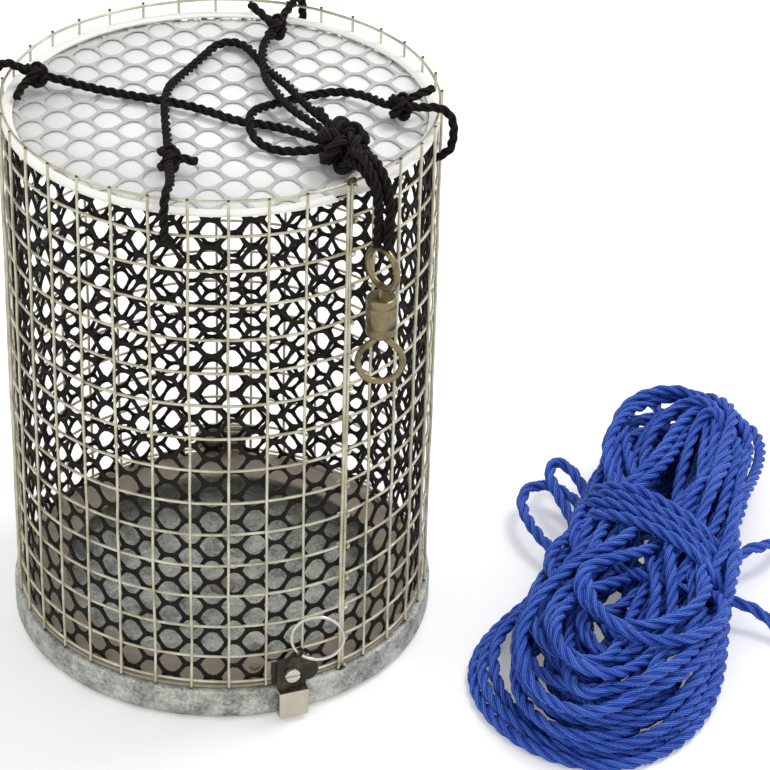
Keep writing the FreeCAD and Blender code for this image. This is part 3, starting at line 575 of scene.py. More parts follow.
def frames_along(line: np.ndarray) -> tuple[np.ndarray, np.ndarray]:
    """Directions across and up at each point, carried without twist."""
    ahead = np.gradient(line, axis=0)
    ahead /= np.linalg.norm(ahead, axis=1)[:, None] + 1e-12
    across = np.zeros_like(ahead)
    first = np.cross(ahead[0], (0.0, 0.0, 1.0))
    if np.linalg.norm(first) < 0.1:
        first = np.cross(ahead[0], (1.0, 0.0, 0.0))
    across[0] = first / np.linalg.norm(first)
    for i in range(1, len(line)):
        side = across[i - 1] - ahead[i] * np.dot(across[i - 1], ahead[i])
        across[i] = side / (np.linalg.norm(side) + 1e-12)
    return across, np.cross(ahead, across)


@dataclass(frozen=True)
class Lay:
    """How a cord is laid: its strands, their sides and the twist."""
    diameter: float
    pitch: float
    strands: int = 3
    sides: int = 6
    step: float = 0.0006
    fullness: float = 1.06
    tip: float = 0.7

    def outline(self) -> tuple[np.ndarray, np.ndarray]:
        """Angles and radii of a cross-section with one lobe for each strand."""
        thick = self.diameter / 2 * self.fullness / (1 + 1 / math.sin(math.pi / self.strands))
        offset = self.diameter / 2 - thick
        count = self.strands * self.sides
        around = TURN * np.arange(count) / count
        lobe = (around % (TURN / self.strands)) - math.pi / self.strands
        inside = np.maximum(thick ** 2 - (offset * np.sin(lobe)) ** 2, 0)
        return around, offset * np.cos(lobe) + np.sqrt(inside)


def strand_mesh(name: str, lines: Sequence[np.ndarray], lay: Lay, finish: bpy.types.Material
                ) -> bpy.types.Object:
    """Sweep a laid cord's twisted outline along centrelines.

    Args:
        name: the object's name.
        lines: centrelines in metres.
        lay: diameter, pitch and strand count.
        finish: its material.

    Returns:
        One mesh of all lines, with a map named lay.
    """
    around, reach = lay.outline()
    count = len(around)
    verts: list[np.ndarray] = []
    faces: list[tuple[int, ...]] = []
    maps: list[Flat] = []
    for line in lines:
        path = evenly(line, lay.step)
        across, up = frames_along(path)
        run = run_along(path) / lay.pitch
        angle = TURN * run[:, None] + around[None]
        swell = np.ones(len(path))
        swell[[0, -1]] = lay.tip
        size = (reach[None] * swell[:, None])[:, :, None]
        start = sum(len(block) for block in verts)
        verts.append((path[:, None] + size * (np.cos(angle)[:, :, None] * across[:, None]
                                              + np.sin(angle)[:, :, None] * up[:, None])).reshape(-1, 3))
        for i in range(len(path) - 1):
            low = start + i * count
            faces += band(low, low + count, count)
            for k in range(count):
                left, right = k / lay.sides, (k + 1) / lay.sides
                maps += [(left, run[i]), (right, run[i]), (right, run[i + 1]), (left, run[i + 1])]
        faces += caps(start, start + (len(path) - 1) * count, count)
        maps += [(0.5, 0.0)] * (2 * count)
    thing = new_object(name, np.concatenate(verts), faces, finish)
    layer = thing.data.uv_layers.new(name="lay")
    layer.data.foreach_set("uv", [value for pair in maps for value in pair])
    return thing


def bent_tube(name: str, line: np.ndarray, diameter: float, finish: bpy.types.Material, sides: int
              ) -> bpy.types.Object:
    """A plain round wire along a line, with flat ends."""
    across, up = frames_along(line)
    ring = np.linspace(0, TURN, sides, endpoint=False)
    verts = [line[i] + (across[i] * math.cos(a) + up[i] * math.sin(a)) * diameter / 2
             for i in range(len(line)) for a in ring]
    last = (len(line) - 1) * sides
    faces = [face for low in range(0, last, sides) for face in band(low, low + sides, sides)]
    return new_object(name, verts, faces + caps(0, last, sides), finish)


def softened(node: str, finish: bpy.types.Material, width: float) -> bpy.types.Object:
    """Copy a CAD node with its edges rounded.

    Args:
        node: the CAD node's name.
        finish: the copy's material.
        width: the bevel's width in metres.

    Returns:
        The copy, which stands in for the node.
    """
    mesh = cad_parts[node].data.copy()
    shape = bmesh.new()
    shape.from_mesh(mesh)
    bmesh.ops.remove_doubles(shape, verts=shape.verts, dist=1e-6)
    bmesh.ops.dissolve_limit(shape, angle_limit=math.radians(1), verts=shape.verts, edges=shape.edges)
    shape.to_mesh(mesh)
    shape.free()
    mesh.materials.clear()
    mesh.materials.append(finish)
    thing = linked(node + "_finished", mesh)
    bevel = thing.modifiers.new("edges", "BEVEL")
    bevel.width = width
    bevel.segments = 2
    bevel.limit_method = "ANGLE"
    bevel.angle_limit = math.radians(40)
    bevel.harden_normals = False
    smoothed(baked(thing)).data.set_sharp_from_angle(angle=math.radians(35))
    return thing


def settle(thing: bpy.types.Object, body: Body, slot: str, *nodes: str) -> None:
    """Give a piece its body and hide the CAD nodes that it stands for."""
    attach(thing, body.value)
    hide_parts(*nodes)
    LOG.info("%s: %d faces on %s", thing.name, len(thing.data.polygons), body.value)


def round_the_cage(radius: float, degrees: float, height: float) -> Point:
    """A place in metres from a radius and height in millimetres and an angle from the front."""
    angle = math.radians(degrees)
    return (radius * MM * math.sin(angle), -radius * MM * math.cos(angle), height * MM)


def merged(name: str, pieces: Sequence[bpy.types.Object]) -> bpy.types.Object:
    """Put several pieces of one finish into one mesh and remove them."""
    shape = bmesh.new()
    for piece in pieces:
        shape.from_mesh(piece.data)
    mesh = bpy.data.meshes.new(name)
    shape.to_mesh(mesh)
    shape.free()
    mesh.materials.append(pieces[0].data.materials[0])
    for piece in pieces:
        bpy.data.objects.remove(piece)
    return linked(name, mesh)


# ---------------------------------------------------------------------------------- wire grid

@dataclass(frozen=True)
class WireGrid:
    """The welded grid: uprights, level rings inside them, and the hooked seam."""
    radius: float = 0.0735
    slots: int = 36
    seam_slot: int = 3
    phase: float = 1.55
    rings: int = 15
    pitch: float = 0.0127
    wire: float = 0.001
    weld: float = 0.95
    seam_angle: float = 33.5
    seam_rod: float = 0.0012
    seam_sway: float = 0.00018
    loop_wide: float = 0.0014
    loop_tall: float = 0.0012
    loop_lift: float = 0.0005
    loop_ahead: float = 0.0007
    top: float = 0.2035
    foot_ring: float = 0.015
    finish: PlatedWire = PlatedWire()

    def build(self) -> None:
        """Make the three groups of wire."""
        metal = self.finish.material()
        low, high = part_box("vertical_wires")
        levels = {"Count": self.rings, "Pitch": self.pitch, "Top": self.top, "Wire": self.wire}
        uprights = self.upright_tree().make(
            "grid_uprights", metal, Radius=self.radius, Slots=self.slots, Seam_slot=self.seam_slot,
            Turn=math.radians(self.phase - 90), Low=low.z, High=high.z, Wire=self.wire)
        rings = self.ring_tree().make("grid_rings", metal, Foot=self.foot_ring, **levels,
                                      Radius=self.radius - self.wire * self.weld)
        hooks = self.hook_tree().make("seam_hooks", metal, Radius=self.seam_rod * 1.6, **levels)
        for thing, node in ((uprights, "vertical_wires"), (rings, "ring_wires"),
                            (self.seam(metal, hooks), "seam_rods")):
            settle(thing, Body.CAGE, "wire_nickel", node)

    def upright_tree(self) -> ShapeTree:
        """A tree that stands wavering wires on a circle and leaves one slot out."""
        tree = ShapeTree("uprights", ("Slots", "Seam_slot"), Radius=0.07, Slots=36, Seam_slot=3,
                         Turn=0.0, Low=0.0, High=0.2, Wire=0.001, Wobble=0.0011, Seed=4.0)
        radius, slots, slot, turn, low, high = tree.sizes("Radius", "Slots", "Seam slot", "Turn",
                                                          "Low", "High")
        circle = tree.node("MeshCircle", Vertices=slots, Radius=radius)
        placed = tree.node("Transform", Geometry=circle, Rotation=tree.up(turn))
        seam = tree.math("COMPARE", tree.node("InputIndex"), slot, 0.1)
        kept = tree.node("DeleteGeometry", domain="POINT", Geometry=placed, Selection=seam)
        line = tree.node("CurvePrimitiveLine", Start=tree.up(low), End=tree.up(high))
        fine = tree.node("ResampleCurve", Curve=line, Count=62)
        return tree.wavering(tree.node("InstanceOnPoints", Points=kept, Instance=fine), 34.0)

    def ring_tree(self) -> ShapeTree:
        """A tree that stacks wavering circles of wire and adds the foot ring."""
        tree = ShapeTree("rings", ("Count",), Radius=0.07, Count=15, Pitch=0.0127, Top=0.2,
                         Foot=0.015, Wire=0.001, Wobble=0.0013, Seed=9.0)
        radius, low = tree.sizes("Radius", "Foot")
        circle = tree.node("CurvePrimitiveCircle", Resolution=216, Radius=radius)
        foot = tree.node("Transform", Geometry=circle, Translation=tree.up(low))
        return tree.wavering(tree.node("JoinGeometry", Geometry=[tree.ladder(circle), foot]), 26.0)

    def hook_tree(self) -> ShapeTree:
        """A tree that hooks a wire end round the seam at each level."""
        tree = ShapeTree("hooks", ("Count",), Radius=0.0021, Count=15, Pitch=0.0127, Top=0.2,
                         Wire=0.001, Wobble=0.0016, Seed=3.0)
        bend = tree.node("CurveArc", Resolution=14, Radius=tree.sizes("Radius")[0],
                         Start_Angle=math.radians(-75), Sweep_Angle=math.radians(205))
        lean = tree.node("FunctionNodeRandomValue", output=1, data_type="FLOAT", Min=-0.3, Max=0.3,
                         Seed=7)
        return tree.wavering(tree.ladder(bend, Rotation=tree.vector(lean * 0.6, lean, lean)), 60.0)

    def seam(self, metal: bpy.types.Material, hooks: bpy.types.Object) -> bpy.types.Object:
        """The two seam rods, their end loops and the hooks."""
        low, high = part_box("seam_rods")
        reach = self.radius - self.wire / 2 + self.seam_rod / 2
        pieces = []
        heights = np.linspace(low.z, high.z, 50)
        for side in (-1, 1):
            sway = self.seam_sway * np.sin(heights * 95 + side)
            line = np.stack([side * self.seam_rod * 0.5 + sway, -reach + 0.5 * sway, heights], axis=1)
            pieces.append(bent_tube("seam_rod", line, self.seam_rod, metal, 10))
        for height, up in ((high.z, 1), (low.z + self.loop_tall, -1)):
            angles = np.linspace(math.radians(-25), math.radians(235), 18)
            loop = np.stack([self.loop_wide * np.cos(angles),
                             np.full(len(angles), -reach - self.loop_ahead),
                             height + up * (self.loop_lift + self.loop_tall * np.sin(angles))], axis=1)
            pieces.append(bent_tube("seam_loop", loop, self.wire, metal, 8))
        hooks.data.transform(Matrix.Translation((0, -reach, 0)))
        seam = merged("grid_seam", [*pieces, hooks])
        seam.data.transform(Matrix.Rotation(math.radians(self.seam_angle), 4, "Z"))
        return smoothed(seam)


# ---------------------------------------------------------------------------------------- nets

@dataclass(frozen=True)
class HexNet:
    """The net liner and the lid's net: hexagons whose points lie left and right; the lid's net is a lighter
    grey copy of the black net, as painted light from above.
    """
    columns: int = 62
    row_step: float = 0.010
    cell_width: float = 0.0110
    strand_share: float = 0.88
    thickness: float = 0.0007
    inset: float = 0.0011
    wall: CoatedNet = CoatedNet("net_black", lit(30, 26, 21), 0.7, 0.35, 0.18)
    # Painted light: the lid's net is a lighter grey copy of the black wall net, standing for light falling
    # on it from above.
    lid: CoatedNet = CoatedNet("net_grey", lit(192, 193, 189), 0.6, 0.16)
    # Painted light: a near-white sheet under the lid's net stands in for the lid's washed-out brightness.
    painted_light_film: CoatedNet = CoatedNet("lid_painted_light_film", lit(254, 254, 252), 0.5, 0.01, 0.2)
    painted_light_film_lift: float = 0.0001
    painted_light_film_thickness: float = 0.3
    lid_scale: float = 1.16
    lid_row: float = 0.0134
    lid_share: float = 0.905
    lid_jitter: float = 0.0032

    def build(self) -> None:
        """Make both nets and the white sheet under the lid's net, which paints the lid's washed-out light.
        """
        low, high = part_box("liner_net")
        inner = high.x - self.inset
        step = TURN * inner / self.columns
        sleeve = self.tree(True).make(
            "liner_sleeve", self.wall.material(), Columns=self.columns,
            Rows=int((high.z - low.z) / self.row_step) + 2, Column_step=step, Row_step=self.row_step,
            Cell_width=self.cell_width, Strand_share=self.strand_share, Thickness=self.thickness,
            Radius=inner, Low=low.z, High=high.z)
        settle(sleeve, Body.CAGE, "net_black", "liner_net")
        low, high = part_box("lid_net")
        step *= self.lid_scale
        across = int(2 * high.x / step) + 3
        disc = self.tree(False).make(
            "lid_sheet", self.lid.material(), Columns=across + across % 2,
            Rows=int(2 * high.x / self.lid_row) + 3, Column_step=step, Row_step=self.lid_row,
            Jitter=self.lid_jitter, Cell_width=self.cell_width * self.lid_scale,
            Strand_share=self.lid_share, Thickness=self.thickness * 0.5, Radius=high.x,
            Low=low.z + self.thickness, High=high.z)
        settle(disc, Body.CAGE, "net_grey", "lid_net")
        # Painted light: this near-white disc stands for the lid's washed-out brightness.
        edge, thick = high.x / MM, self.painted_light_film_thickness
        painted_light_film = turned("lid_painted_light_film_disc", [(0, 0), (edge, 0), (edge, thick), (0, thick)],
                      Vector((0, 0, low.z + self.painted_light_film_lift)), self.painted_light_film.material(), 96)
        settle(painted_light_film, Body.CAGE, "net_grey", "lid_net")

    def tree(self, wrapped: bool) -> ShapeTree:
        """A tree of hexagonal cells, wrapped round a cylinder or laid flat in a disc."""
        tree = ShapeTree("hex_sleeve" if wrapped else "hex_disc", ("Columns", "Rows"), Columns=62,
                         Rows=20, Column_step=0.0072, Row_step=0.01, Cell_width=0.011,
                         Strand_share=0.8, Thickness=0.0009, Radius=0.07, Low=0.0, High=0.2,
                         Jitter=0.0018, Seed=2.0, Crease=0.45)
        frames = self.cells(tree, not wrapped)
        across, deep, _ = tree.here()
        radius, low, high, thick = tree.sizes("Radius", "Low", "High", "Thickness")
        if wrapped:
            height = tree.node("ShaderNodeClamp", {0: deep + (low + high) * 0.5, 1: low, 2: high})
            angle = across / radius
            place = tree.vector(tree.math("SINE", angle) * radius,
                                tree.math("COSINE", angle) * (radius * -1.0), height)
        else:
            draw = tree.math("MINIMUM", radius / tree.hypot(across, deep), 1.0)
            place = tree.vector(across * draw, deep * draw, low + thick * 0.15)
        laid = tree.node("SetPosition", Geometry=frames, Position=place)
        sewn = tree.node("MergeByDistance", Geometry=laid, Distance=0.00015)
        raised = tree.node("ExtrudeMesh", Mesh=sewn, Offset_Scale=thick, Individual=False)
        both = tree.node("JoinGeometry", Geometry=[raised, tree.node("FlipFaces", Mesh=sewn)])
        return tree.finish(tree.node("MergeByDistance", Geometry=both, Distance=0.00002), False)

    @staticmethod
    def cells(tree: ShapeTree, round_only: bool) -> Wire:
        """Flat frames: a grid of hexagons with a smaller hole scaled into each."""
        width, row, column_step, columns, rows, share, crease = tree.sizes(
            "Cell width", "Row step", "Column step", "Columns", "Rows", "Strand share", "Crease")
        hexagon = tree.node("MeshCircle", fill_type="NGON", Vertices=6, Radius=1.0)
        across, deep, _ = tree.here()
        pointed = tree.math("ABSOLUTE", across) * 0.764 + 0.236
        place = tree.vector(across * pointed * (width * 0.5),
                            deep * (row / (2 * math.sin(math.radians(60)))), 0.0)
        cell = tree.node("SetPosition", Geometry=hexagon, Position=place)
        wide = (columns - 1.0) * column_step
        grid = tree.node("MeshGrid", Size_X=wide, Size_Y=(rows - 1.0) * row, Vertices_X=columns,
                         Vertices_Y=rows)
        column = tree.math("ROUND", (across + wide * 0.5) / column_step)
        shift = tree.math("MODULO", column, 2.0) * row * 0.5
        points = tree.node("SetPosition", Geometry=grid, Offset=tree.vector(0.0, shift, 0.0))
        if round_only:
            far = tree.math("GREATER_THAN", tree.hypot(across, deep),
                            tree.sizes("Radius")[0] + 0.003)
            points = tree.node("DeleteGeometry", domain="POINT", Geometry=points, Selection=far)
        laid = tree.node("InstanceOnPoints", Points=points, Instance=cell)
        real = tree.node("RealizeInstances", Geometry=laid)
        sheet = tree.node("MergeByDistance", Geometry=real, Distance=0.0004)
        jitter, seed = tree.sizes("Jitter", "Seed")
        uneven = tree.shaken(sheet, jitter, 75.0, seed)
        raised = tree.node("ExtrudeMesh", Mesh=uneven, Offset_Scale=0.0, Individual=True)
        top = raised.beside("Top")
        drawn = tree.node("ScaleElements", Geometry=raised, Selection=top, Scale=share)
        frames = tree.node("DeleteGeometry", domain="FACE", Geometry=drawn, Selection=top)
        return tree.node("SubdivisionSurface", Mesh=frames, Level=1, Edge_Crease=crease,
                         Vertex_Crease=crease)


# ------------------------------------------------------------------------------- dish and sheet

@dataclass(frozen=True)
class SheetAndCasting:
    """The weighted dish, the flange, the lid's border, the hinge and all rivets."""
    zinc: MottledZinc = MottledZinc()
    taupe: SheetMetal = SheetMetal("flange_taupe", lit(172, 160, 144), lit(112, 98, 80), 0.05, 0.6, 0.5)
    border: CoatedNet = CoatedNet("lid_border", lit(246, 246, 240), 0.6, 0.04)
    steel: SheetMetal = SheetMetal("hinge_steel", lit(196, 190, 172), lit(120, 108, 84), 0.65, 0.34, 0.45)
    rivet: SheetMetal = SheetMetal("rivet_steel", lit(150, 142, 126), lit(84, 66, 50), 0.5, 0.42, 0.6)
    flat: float = 40.0
    plate: float = 2.5
    fillet: float = 3.5
    lip_round: float = 1.2
    lip_inner: float = 3.3
    wall_foot: Flat = (8.0, 6.0)

    def build(self) -> None:
        """Make the dish by turning it and finish the CAD sheet pieces."""
        rivet, steel = self.rivet.material(), self.steel.material()
        settle(self.dish(self.zinc.material()), Body.BASE, "galvanised_dish", "base_dish")
        outline = [(0, 0), (4.5, 0), (4.5, 0.5), *arc(3.3, 0.5, 1.2, 0, 80, 6), (1.6, 1.58), (0, 1.6)]
        head = turned("centre_rivet_head", outline, Vector((0, 0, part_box("base_rivet")[0].z)), rivet, 40)
        settle(head, Body.BASE, "rivet_metal", "base_rivet")
        for node, body, slot, finish, width in (
                ("bottom_flange", Body.CAGE, "flange_taupe", self.taupe.material(), 0.0002),
                ("lid_ring", Body.CAGE, "lid_border", self.border.material(), 0.0002),
                ("hinge_leaf_base", Body.BASE, "hinge_metal", steel, 0.00015),
                ("hinge_leaf_cage", Body.CAGE, "hinge_metal", steel, 0.00015),
                ("hinge_pin", Body.BASE, "hinge_metal", steel, 0.0002),
                ("hinge_backing", Body.CAGE, "hinge_metal", steel, 0.0001),
                ("latch_backing", Body.CAGE, "hinge_metal", steel, 0.0001),
                ("flange_rivets", Body.CAGE, "rivet_metal", rivet, 0.0003),
                ("hinge_rivets_base", Body.BASE, "rivet_metal", rivet, 0.0003),
                ("hinge_rivets_cage", Body.CAGE, "rivet_metal", rivet, 0.0003)):
            settle(softened(node, finish, width), body, slot, node)

    def dish(self, finish: bpy.types.Material) -> bpy.types.Object:
        """The dish's turned shape with its rounded lip and foot."""
        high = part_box("base_dish")[1]
        edge, top = high.x / MM, high.z / MM
        lip, foot, (inwards, up) = self.lip_round, self.fillet, self.wall_foot
        outline = [(0, 0), (self.flat, 0), *arc(edge - foot, foot, foot, -90, 0, 8),
                   *arc(edge - lip, top - lip, lip, 0, 90, 5),
                   *arc(edge - self.lip_inner, top - lip, lip, 90, 180, 5),
                   *arc(edge - inwards, up, foot, 0, -90, 6), (self.flat, self.plate), (0, self.plate)]
        return turned("dish_casting", outline, Vector(), finish, 192)


# --------------------------------------------------------------------------- latch and swivel

@dataclass(frozen=True)
class Latch:
    """The turn button, its bracket and screw, and the pull ring."""
    # Painted reflection: the strip's dark upper part stands for dark surroundings mirrored in its shiny
    # arm; the tan below is the plate's own colour.
    tan: SheetMetal = SheetMetal("latch_plate", lit(216, 209, 190), lit(150, 136, 110), 0.3, 0.42, 0.3,
                                lit(40, 31, 24))
    # Painted shade: the bracket's near-black brown stands for the shadow and dark reflection in the latch's
    # hollow.
    painted_shade_bracket: SheetMetal = SheetMetal("bracket_brown", lit(46, 35, 27), lit(26, 20, 16), 0.2, 0.5, 0.5)
    bright: SheetMetal = SheetMetal("bright_plate", lit(226, 224, 216), lit(140, 132, 112), 0.85, 0.22, 0.3)

    def build(self) -> None:
        """Finish the latch's pieces from their CAD shapes."""
        bright = self.bright.material()
        for node, body, slot, finish, width in (
                ("latch_strip", Body.BUTTON, "latch_plated", self.tan.material(), 0.00018),
                ("latch_bracket", Body.CAGE, "bracket_brown", self.painted_shade_bracket.material(), 0.00015),
                ("latch_screw", Body.CAGE, "screw_plated", bright, 0.00025),
                ("pull_ring", Body.RING, "screw_plated", bright, 0.00001)):
            settle(softened(node, finish, width), body, slot, node)


@dataclass(frozen=True)
class Swivel:
    """The barrel swivel that hangs beside the cage."""
    wire: float = 0.0022
    slack: float = 1.03
    rounding: float = 1.1
    mouth: float = 1.6
    groove: float = 0.25
    groove_edges: Point = (3.0, 3.3, 3.6)
    nickel: SheetMetal = SheetMetal("aged_nickel", lit(150, 137, 104), lit(50, 42, 28), 0.85, 0.22, 0.8)

    def build(self) -> None:
        """Make the barrel by turning, bend the lower eye and finish the upper one."""
        metal = self.nickel.material()
        low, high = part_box("swivel_barrel")
        length, edge = (high.z - low.z) / MM, (high.x - low.x) / 2 / MM
        curve, cut, (near, deepest, past) = self.rounding, edge - self.groove, self.groove_edges
        outline = [(0, 0), (edge - self.mouth, 0), *arc(edge - curve, curve, curve, -80, 0, 5),
                   (edge, near), (cut, deepest), (edge, past),
                   (edge, length - past), (cut, length - deepest), (edge, length - near),
                   *arc(edge - curve, length - curve, curve, 0, 80, 5),
                   (edge - self.mouth, length), (0, length)]
        foot = Vector(((low.x + high.x) / 2, (low.y + high.y) / 2, low.z))
        for thing, body, node in (
                (turned("swivel_barrel_body", outline, foot, metal, 48), Body.BARREL, "swivel_barrel"),
                (softened("swivel_upper_eye", metal, 0.0001), Body.CAGE, "swivel_upper_eye"),
                (self.pear_eye(metal), Body.LOWER_EYE, "swivel_lower_eye")):
            settle(thing, body, "swivel_nickel", node)

    def pear_eye(self, metal: bpy.types.Material) -> bpy.types.Object:
        """The lower eye: one wire that leaves the barrel, flares round the ring and comes back."""
        low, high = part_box("swivel_lower_eye")
        centre = (low + high) / 2
        reach = (high.x - low.x - self.wire) / 2 * self.slack
        ring = low.z + (high.x - low.x) / 2
        half = [(0.17, (high.z - ring) / reach), (0.19, 1.2), (0.4, 1.0), (0.84, 0.62), (1.04, 0.05),
                (0.86, -0.66), (0.4, -1.02)]
        points = half + [(-across, up) for across, up in reversed(half)]
        line = route_line([(centre.x + across * reach, centre.y, ring + up * reach)
                           for across, up in points])
        return bent_tube("swivel_lower_eye_bent", line, self.wire, metal, 12)


# --------------------------------------------------------------------------------------- cords

def metres(*points: Point) -> list[Point]:
    """Turn points in millimetres into metres."""
    return [tuple(value * MM for value in point) for point in points]


def length_of(line: np.ndarray) -> float:
    """A line's length."""
    return float(np.linalg.norm(np.diff(line, axis=0), axis=1).sum())


@dataclass(frozen=True)
class BridleLeg:
    """One leg of the bridle: its rim loop, its knot and its run to the main knot."""
    side: str
    knot: Point
    halves: Point
    rim_angle: float
    run: tuple[Point, ...]
    tail: tuple[Point, ...]


LEGS: tuple[BridleLeg, ...] = (
    BridleLeg("left", (-62.4, 14.6, 203.2), (5.0, 4.6, 4.3), -103.5,
              ((-57.1, 15.0, 202.3), (-49.0, 13.4, 200.6), (-38.5, 9.6, 199.8), (-27.0, 5.5, 199.75),
               (-14.0, 1.0, 199.75), (-3.5, -5.0, 199.75), (5.5, -12.0, 199.75), (15.5, -14.5, 199.75),
               (24.5, -20.0, 200.2), (30.4, -28.0, 202.0)),
              ((-65.0, 10.5, 202.6), (-67.0, 6.0, 201.4), (-67.6, 2.4, 200.8))),
    BridleLeg("front", (-17.0, -43.0, 202.6), (4.4, 5.6, 4.2), -13.4,
              ((-17.1, -36.6, 202.2), (-17.5, -26.0, 201.0), (-18.2, -16.0, 201.8), (-18.6, -6.5, 203.5),
               (-17.6, 5.5, 203.5), (-14.6, 16.0, 201.2), (-10.5, 26.5, 199.8), (-5.5, 36.5, 199.75),
               (-2.0, 44.0, 199.75), (3.5, 47.4, 199.75), (8.8, 43.5, 199.75), (12.0, 35.5, 199.75),
               (15.0, 26.0, 199.9), (18.8, 15.5, 202.2), (22.6, 5.5, 203.7), (26.6, -5.0, 203.9),
               (31.0, -14.5, 204.0), (36.2, -23.6, 204.4)),
              ((-14.5, -42.5, 202.8), (-10.8, -42.6, 202.2), (-7.6, -43.4, 201.6))),
    BridleLeg("back", (18.6, 52.6, 202.6), (4.4, 5.6, 4.2), 158.5,
              ((17.7, 46.6, 202.8), (15.4, 41.5, 203.2), (14.0, 33.5, 203.5), (14.2, 23.5, 203.5),
               (14.8, 14.5, 202.6), (17.0, 4.5, 203.9), (19.8, -5.0, 204.6), (24.0, -15.0, 205.0),
               (31.6, -26.4, 205.6)),
              ((16.0, 55.5, 204.2), (12.6, 59.0, 206.0), (10.0, 62.0, 207.0))),
    BridleLeg("right", (58.9, -7.0, 202.8), (4.6, 5.2, 4.4), 77.5,
              ((53.9, -4.2, 202.2), (49.4, 4.4, 200.5), (41.0, 10.0, 199.8), (31.0, 7.5, 199.75),
               (22.0, 2.5, 199.8), (14.6, -5.5, 202.0), (10.2, -12.0, 203.6), (8.8, -20.0, 203.6),
               (10.6, -27.0, 201.2), (15.6, -31.4, 199.9), (21.6, -33.2, 199.9), (28.6, -35.0, 201.4)),
              ((62.0, -5.4, 204.6), (66.5, -3.6, 206.2), (70.4, -2.2, 207.0))),
)


@dataclass(frozen=True)
class Bridle:
    """The black cord bridle: four legs, their knots, the main knot and the hanging strands."""
    diameter: float = 3.2
    pitch: float = 10.8
    grid_radius: float = 73.5
    loop: tuple[Flat, ...] = ((-5.2, 206.6), (-0.4, 207.0), (3.2, 205.0), (4.6, 200.6), (4.4, 195.4),
                              (3.2, 190.6))
    loop_end: Flat = (-2.6, 187.4)
    knot_room: float = 0.0085
    main_knot: Point = (38.2, -36.6, 203.8)
    main_middle: Point = (39.0, -38.6, 205.0)
    main_halves: Point = (9.0, 12.8, 6.6)
    main_bulk: float = 1.5
    main_tail: tuple[Point, ...] = ((36.0, -30.0, 206.0), (33.4, -25.0, 208.0), (31.6, -20.6, 209.0))
    swivel_angle: float = 38.3
    swing: float = 3.5
    swing_steps: int = 3
    bundle_gap: float = 3.55
    bundle_twist: float = 100.0
    rim_share: float = 0.4
    hang: tuple[Flat, ...] = ((62.6, 205.0), (67.2, 206.9), (72.0, 208.4), (76.8, 208.0), (80.6, 204.6),
                              (82.4, 199.0), (82.8, 192.0), (82.8, 183.1))
    fibre: LaidFibre = LaidFibre("black_cord", lit(24, 20, 18), lit(52, 46, 42), lit(7, 6, 5), 3.0, 0.3,
                                 0.75, 0.15)

    def build(self) -> None:
        """Make the legs, the knots and the hanging strands."""
        fibre = self.fibre.material()
        lay = Lay(self.diameter * MM, self.pitch * MM)
        doubled = Lay(lay.diameter * self.main_bulk, lay.pitch * self.main_bulk)
        core = strand_mesh("main_knot_core", [self.tied(self.main_middle, self.main_halves, 5, doubled)],
                           doubled, fibre)
        tail = route_line(metres(self.main_middle, *self.main_tail))
        main = merged("main_knot_tied", [core, strand_mesh("main_knot_stub", [tail], lay, fibre)])
        settle(main, Body.CAGE, "cord_black", "main_knot")
        for leg in LEGS:
            lines = [self.tied(leg.knot, leg.halves, 3, lay), route_line(metres(leg.knot, *leg.tail))]
            knot = strand_mesh("rim_knot_%s_tied" % leg.side, lines, lay, fibre)
            settle(knot, Body.CAGE, "cord_black", "rim_knot_" + leg.side)
            self.leg(leg, [knot, main] if leg.side == "front" else [knot], lay, fibre)
        for index in range(4):
            self.strand(index, lay, fibre)

    def leg(self, leg: BridleLeg, pieces: list[bpy.types.Object], lay: Lay,
            fibre: bpy.types.Material) -> None:
        """One leg from the mesh, over the rim, through its knot and on to the main knot."""
        entry, *rim = [round_the_cage(self.grid_radius + step, leg.rim_angle, height)
                       for step, height in (self.loop_end, *reversed(self.loop))]
        knot, *rest = metres(leg.knot, *leg.run, self.main_knot)
        far = [point for point in rim if (Vector(point) - Vector(knot)).length > self.knot_room]
        points = [entry, *far, knot, *rest]
        line = route_line(points)
        cord = strand_mesh("bridle_" + leg.side, [line], lay, fibre)
        settle(cord, Body.CAGE, "cord_black", "leg_" + leg.side, "rim_loop_" + leg.side)

    def strand(self, index: int, lay: Lay, fibre: bpy.types.Material) -> None:
        """One hanging strand from the main knot to the swivel."""
        away = self.bundle_gap / math.sqrt(2)
        last = len(self.hang) - 1
        points = metres(self.main_knot)
        for step, (radius, height) in enumerate(self.hang):
            before, after = self.hang[max(step - 1, 0)], self.hang[min(step + 1, last)]
            run = math.hypot(after[0] - before[0], after[1] - before[1])
            turn = math.radians(45 + 90 * index + self.bundle_twist * (step / last - self.rim_share))
            lift = away * math.sin(turn)
            radius += lift * (before[1] - after[1]) / run
            height += lift * (after[0] - before[0]) / run
            angle = self.swivel_angle + self.swing * max(0.0, 1 - step / self.swing_steps)
            points.append(round_the_cage(radius, angle + math.degrees(away * math.cos(turn) / radius),
                                         height))
        line = route_line(points)
        cord = strand_mesh("bridle_hang_%d" % (index + 1), [line], lay, fibre)
        settle(cord, Body.CAGE, "cord_black", "pendant_%d" % (index + 1))

    @staticmethod
    def tied(centre: Point, halves: Point, lobes: int, lay: Lay) -> np.ndarray:
        """The path of a pulled-up knot: a torus knot squeezed into the knot's size."""
        turn = np.linspace(0, TURN, 60 * lobes)
        wide = 1.7 + np.cos(lobes * turn)
        path = np.stack([wide * np.cos(2 * turn), wide * np.sin(2 * turn), 1.6 * np.sin(lobes * turn)],
                        axis=1)
        room = np.array(halves) - lay.diameter / MM * 0.5
        return (path / np.abs(path).max(axis=0) * room + np.array(centre)) * MM


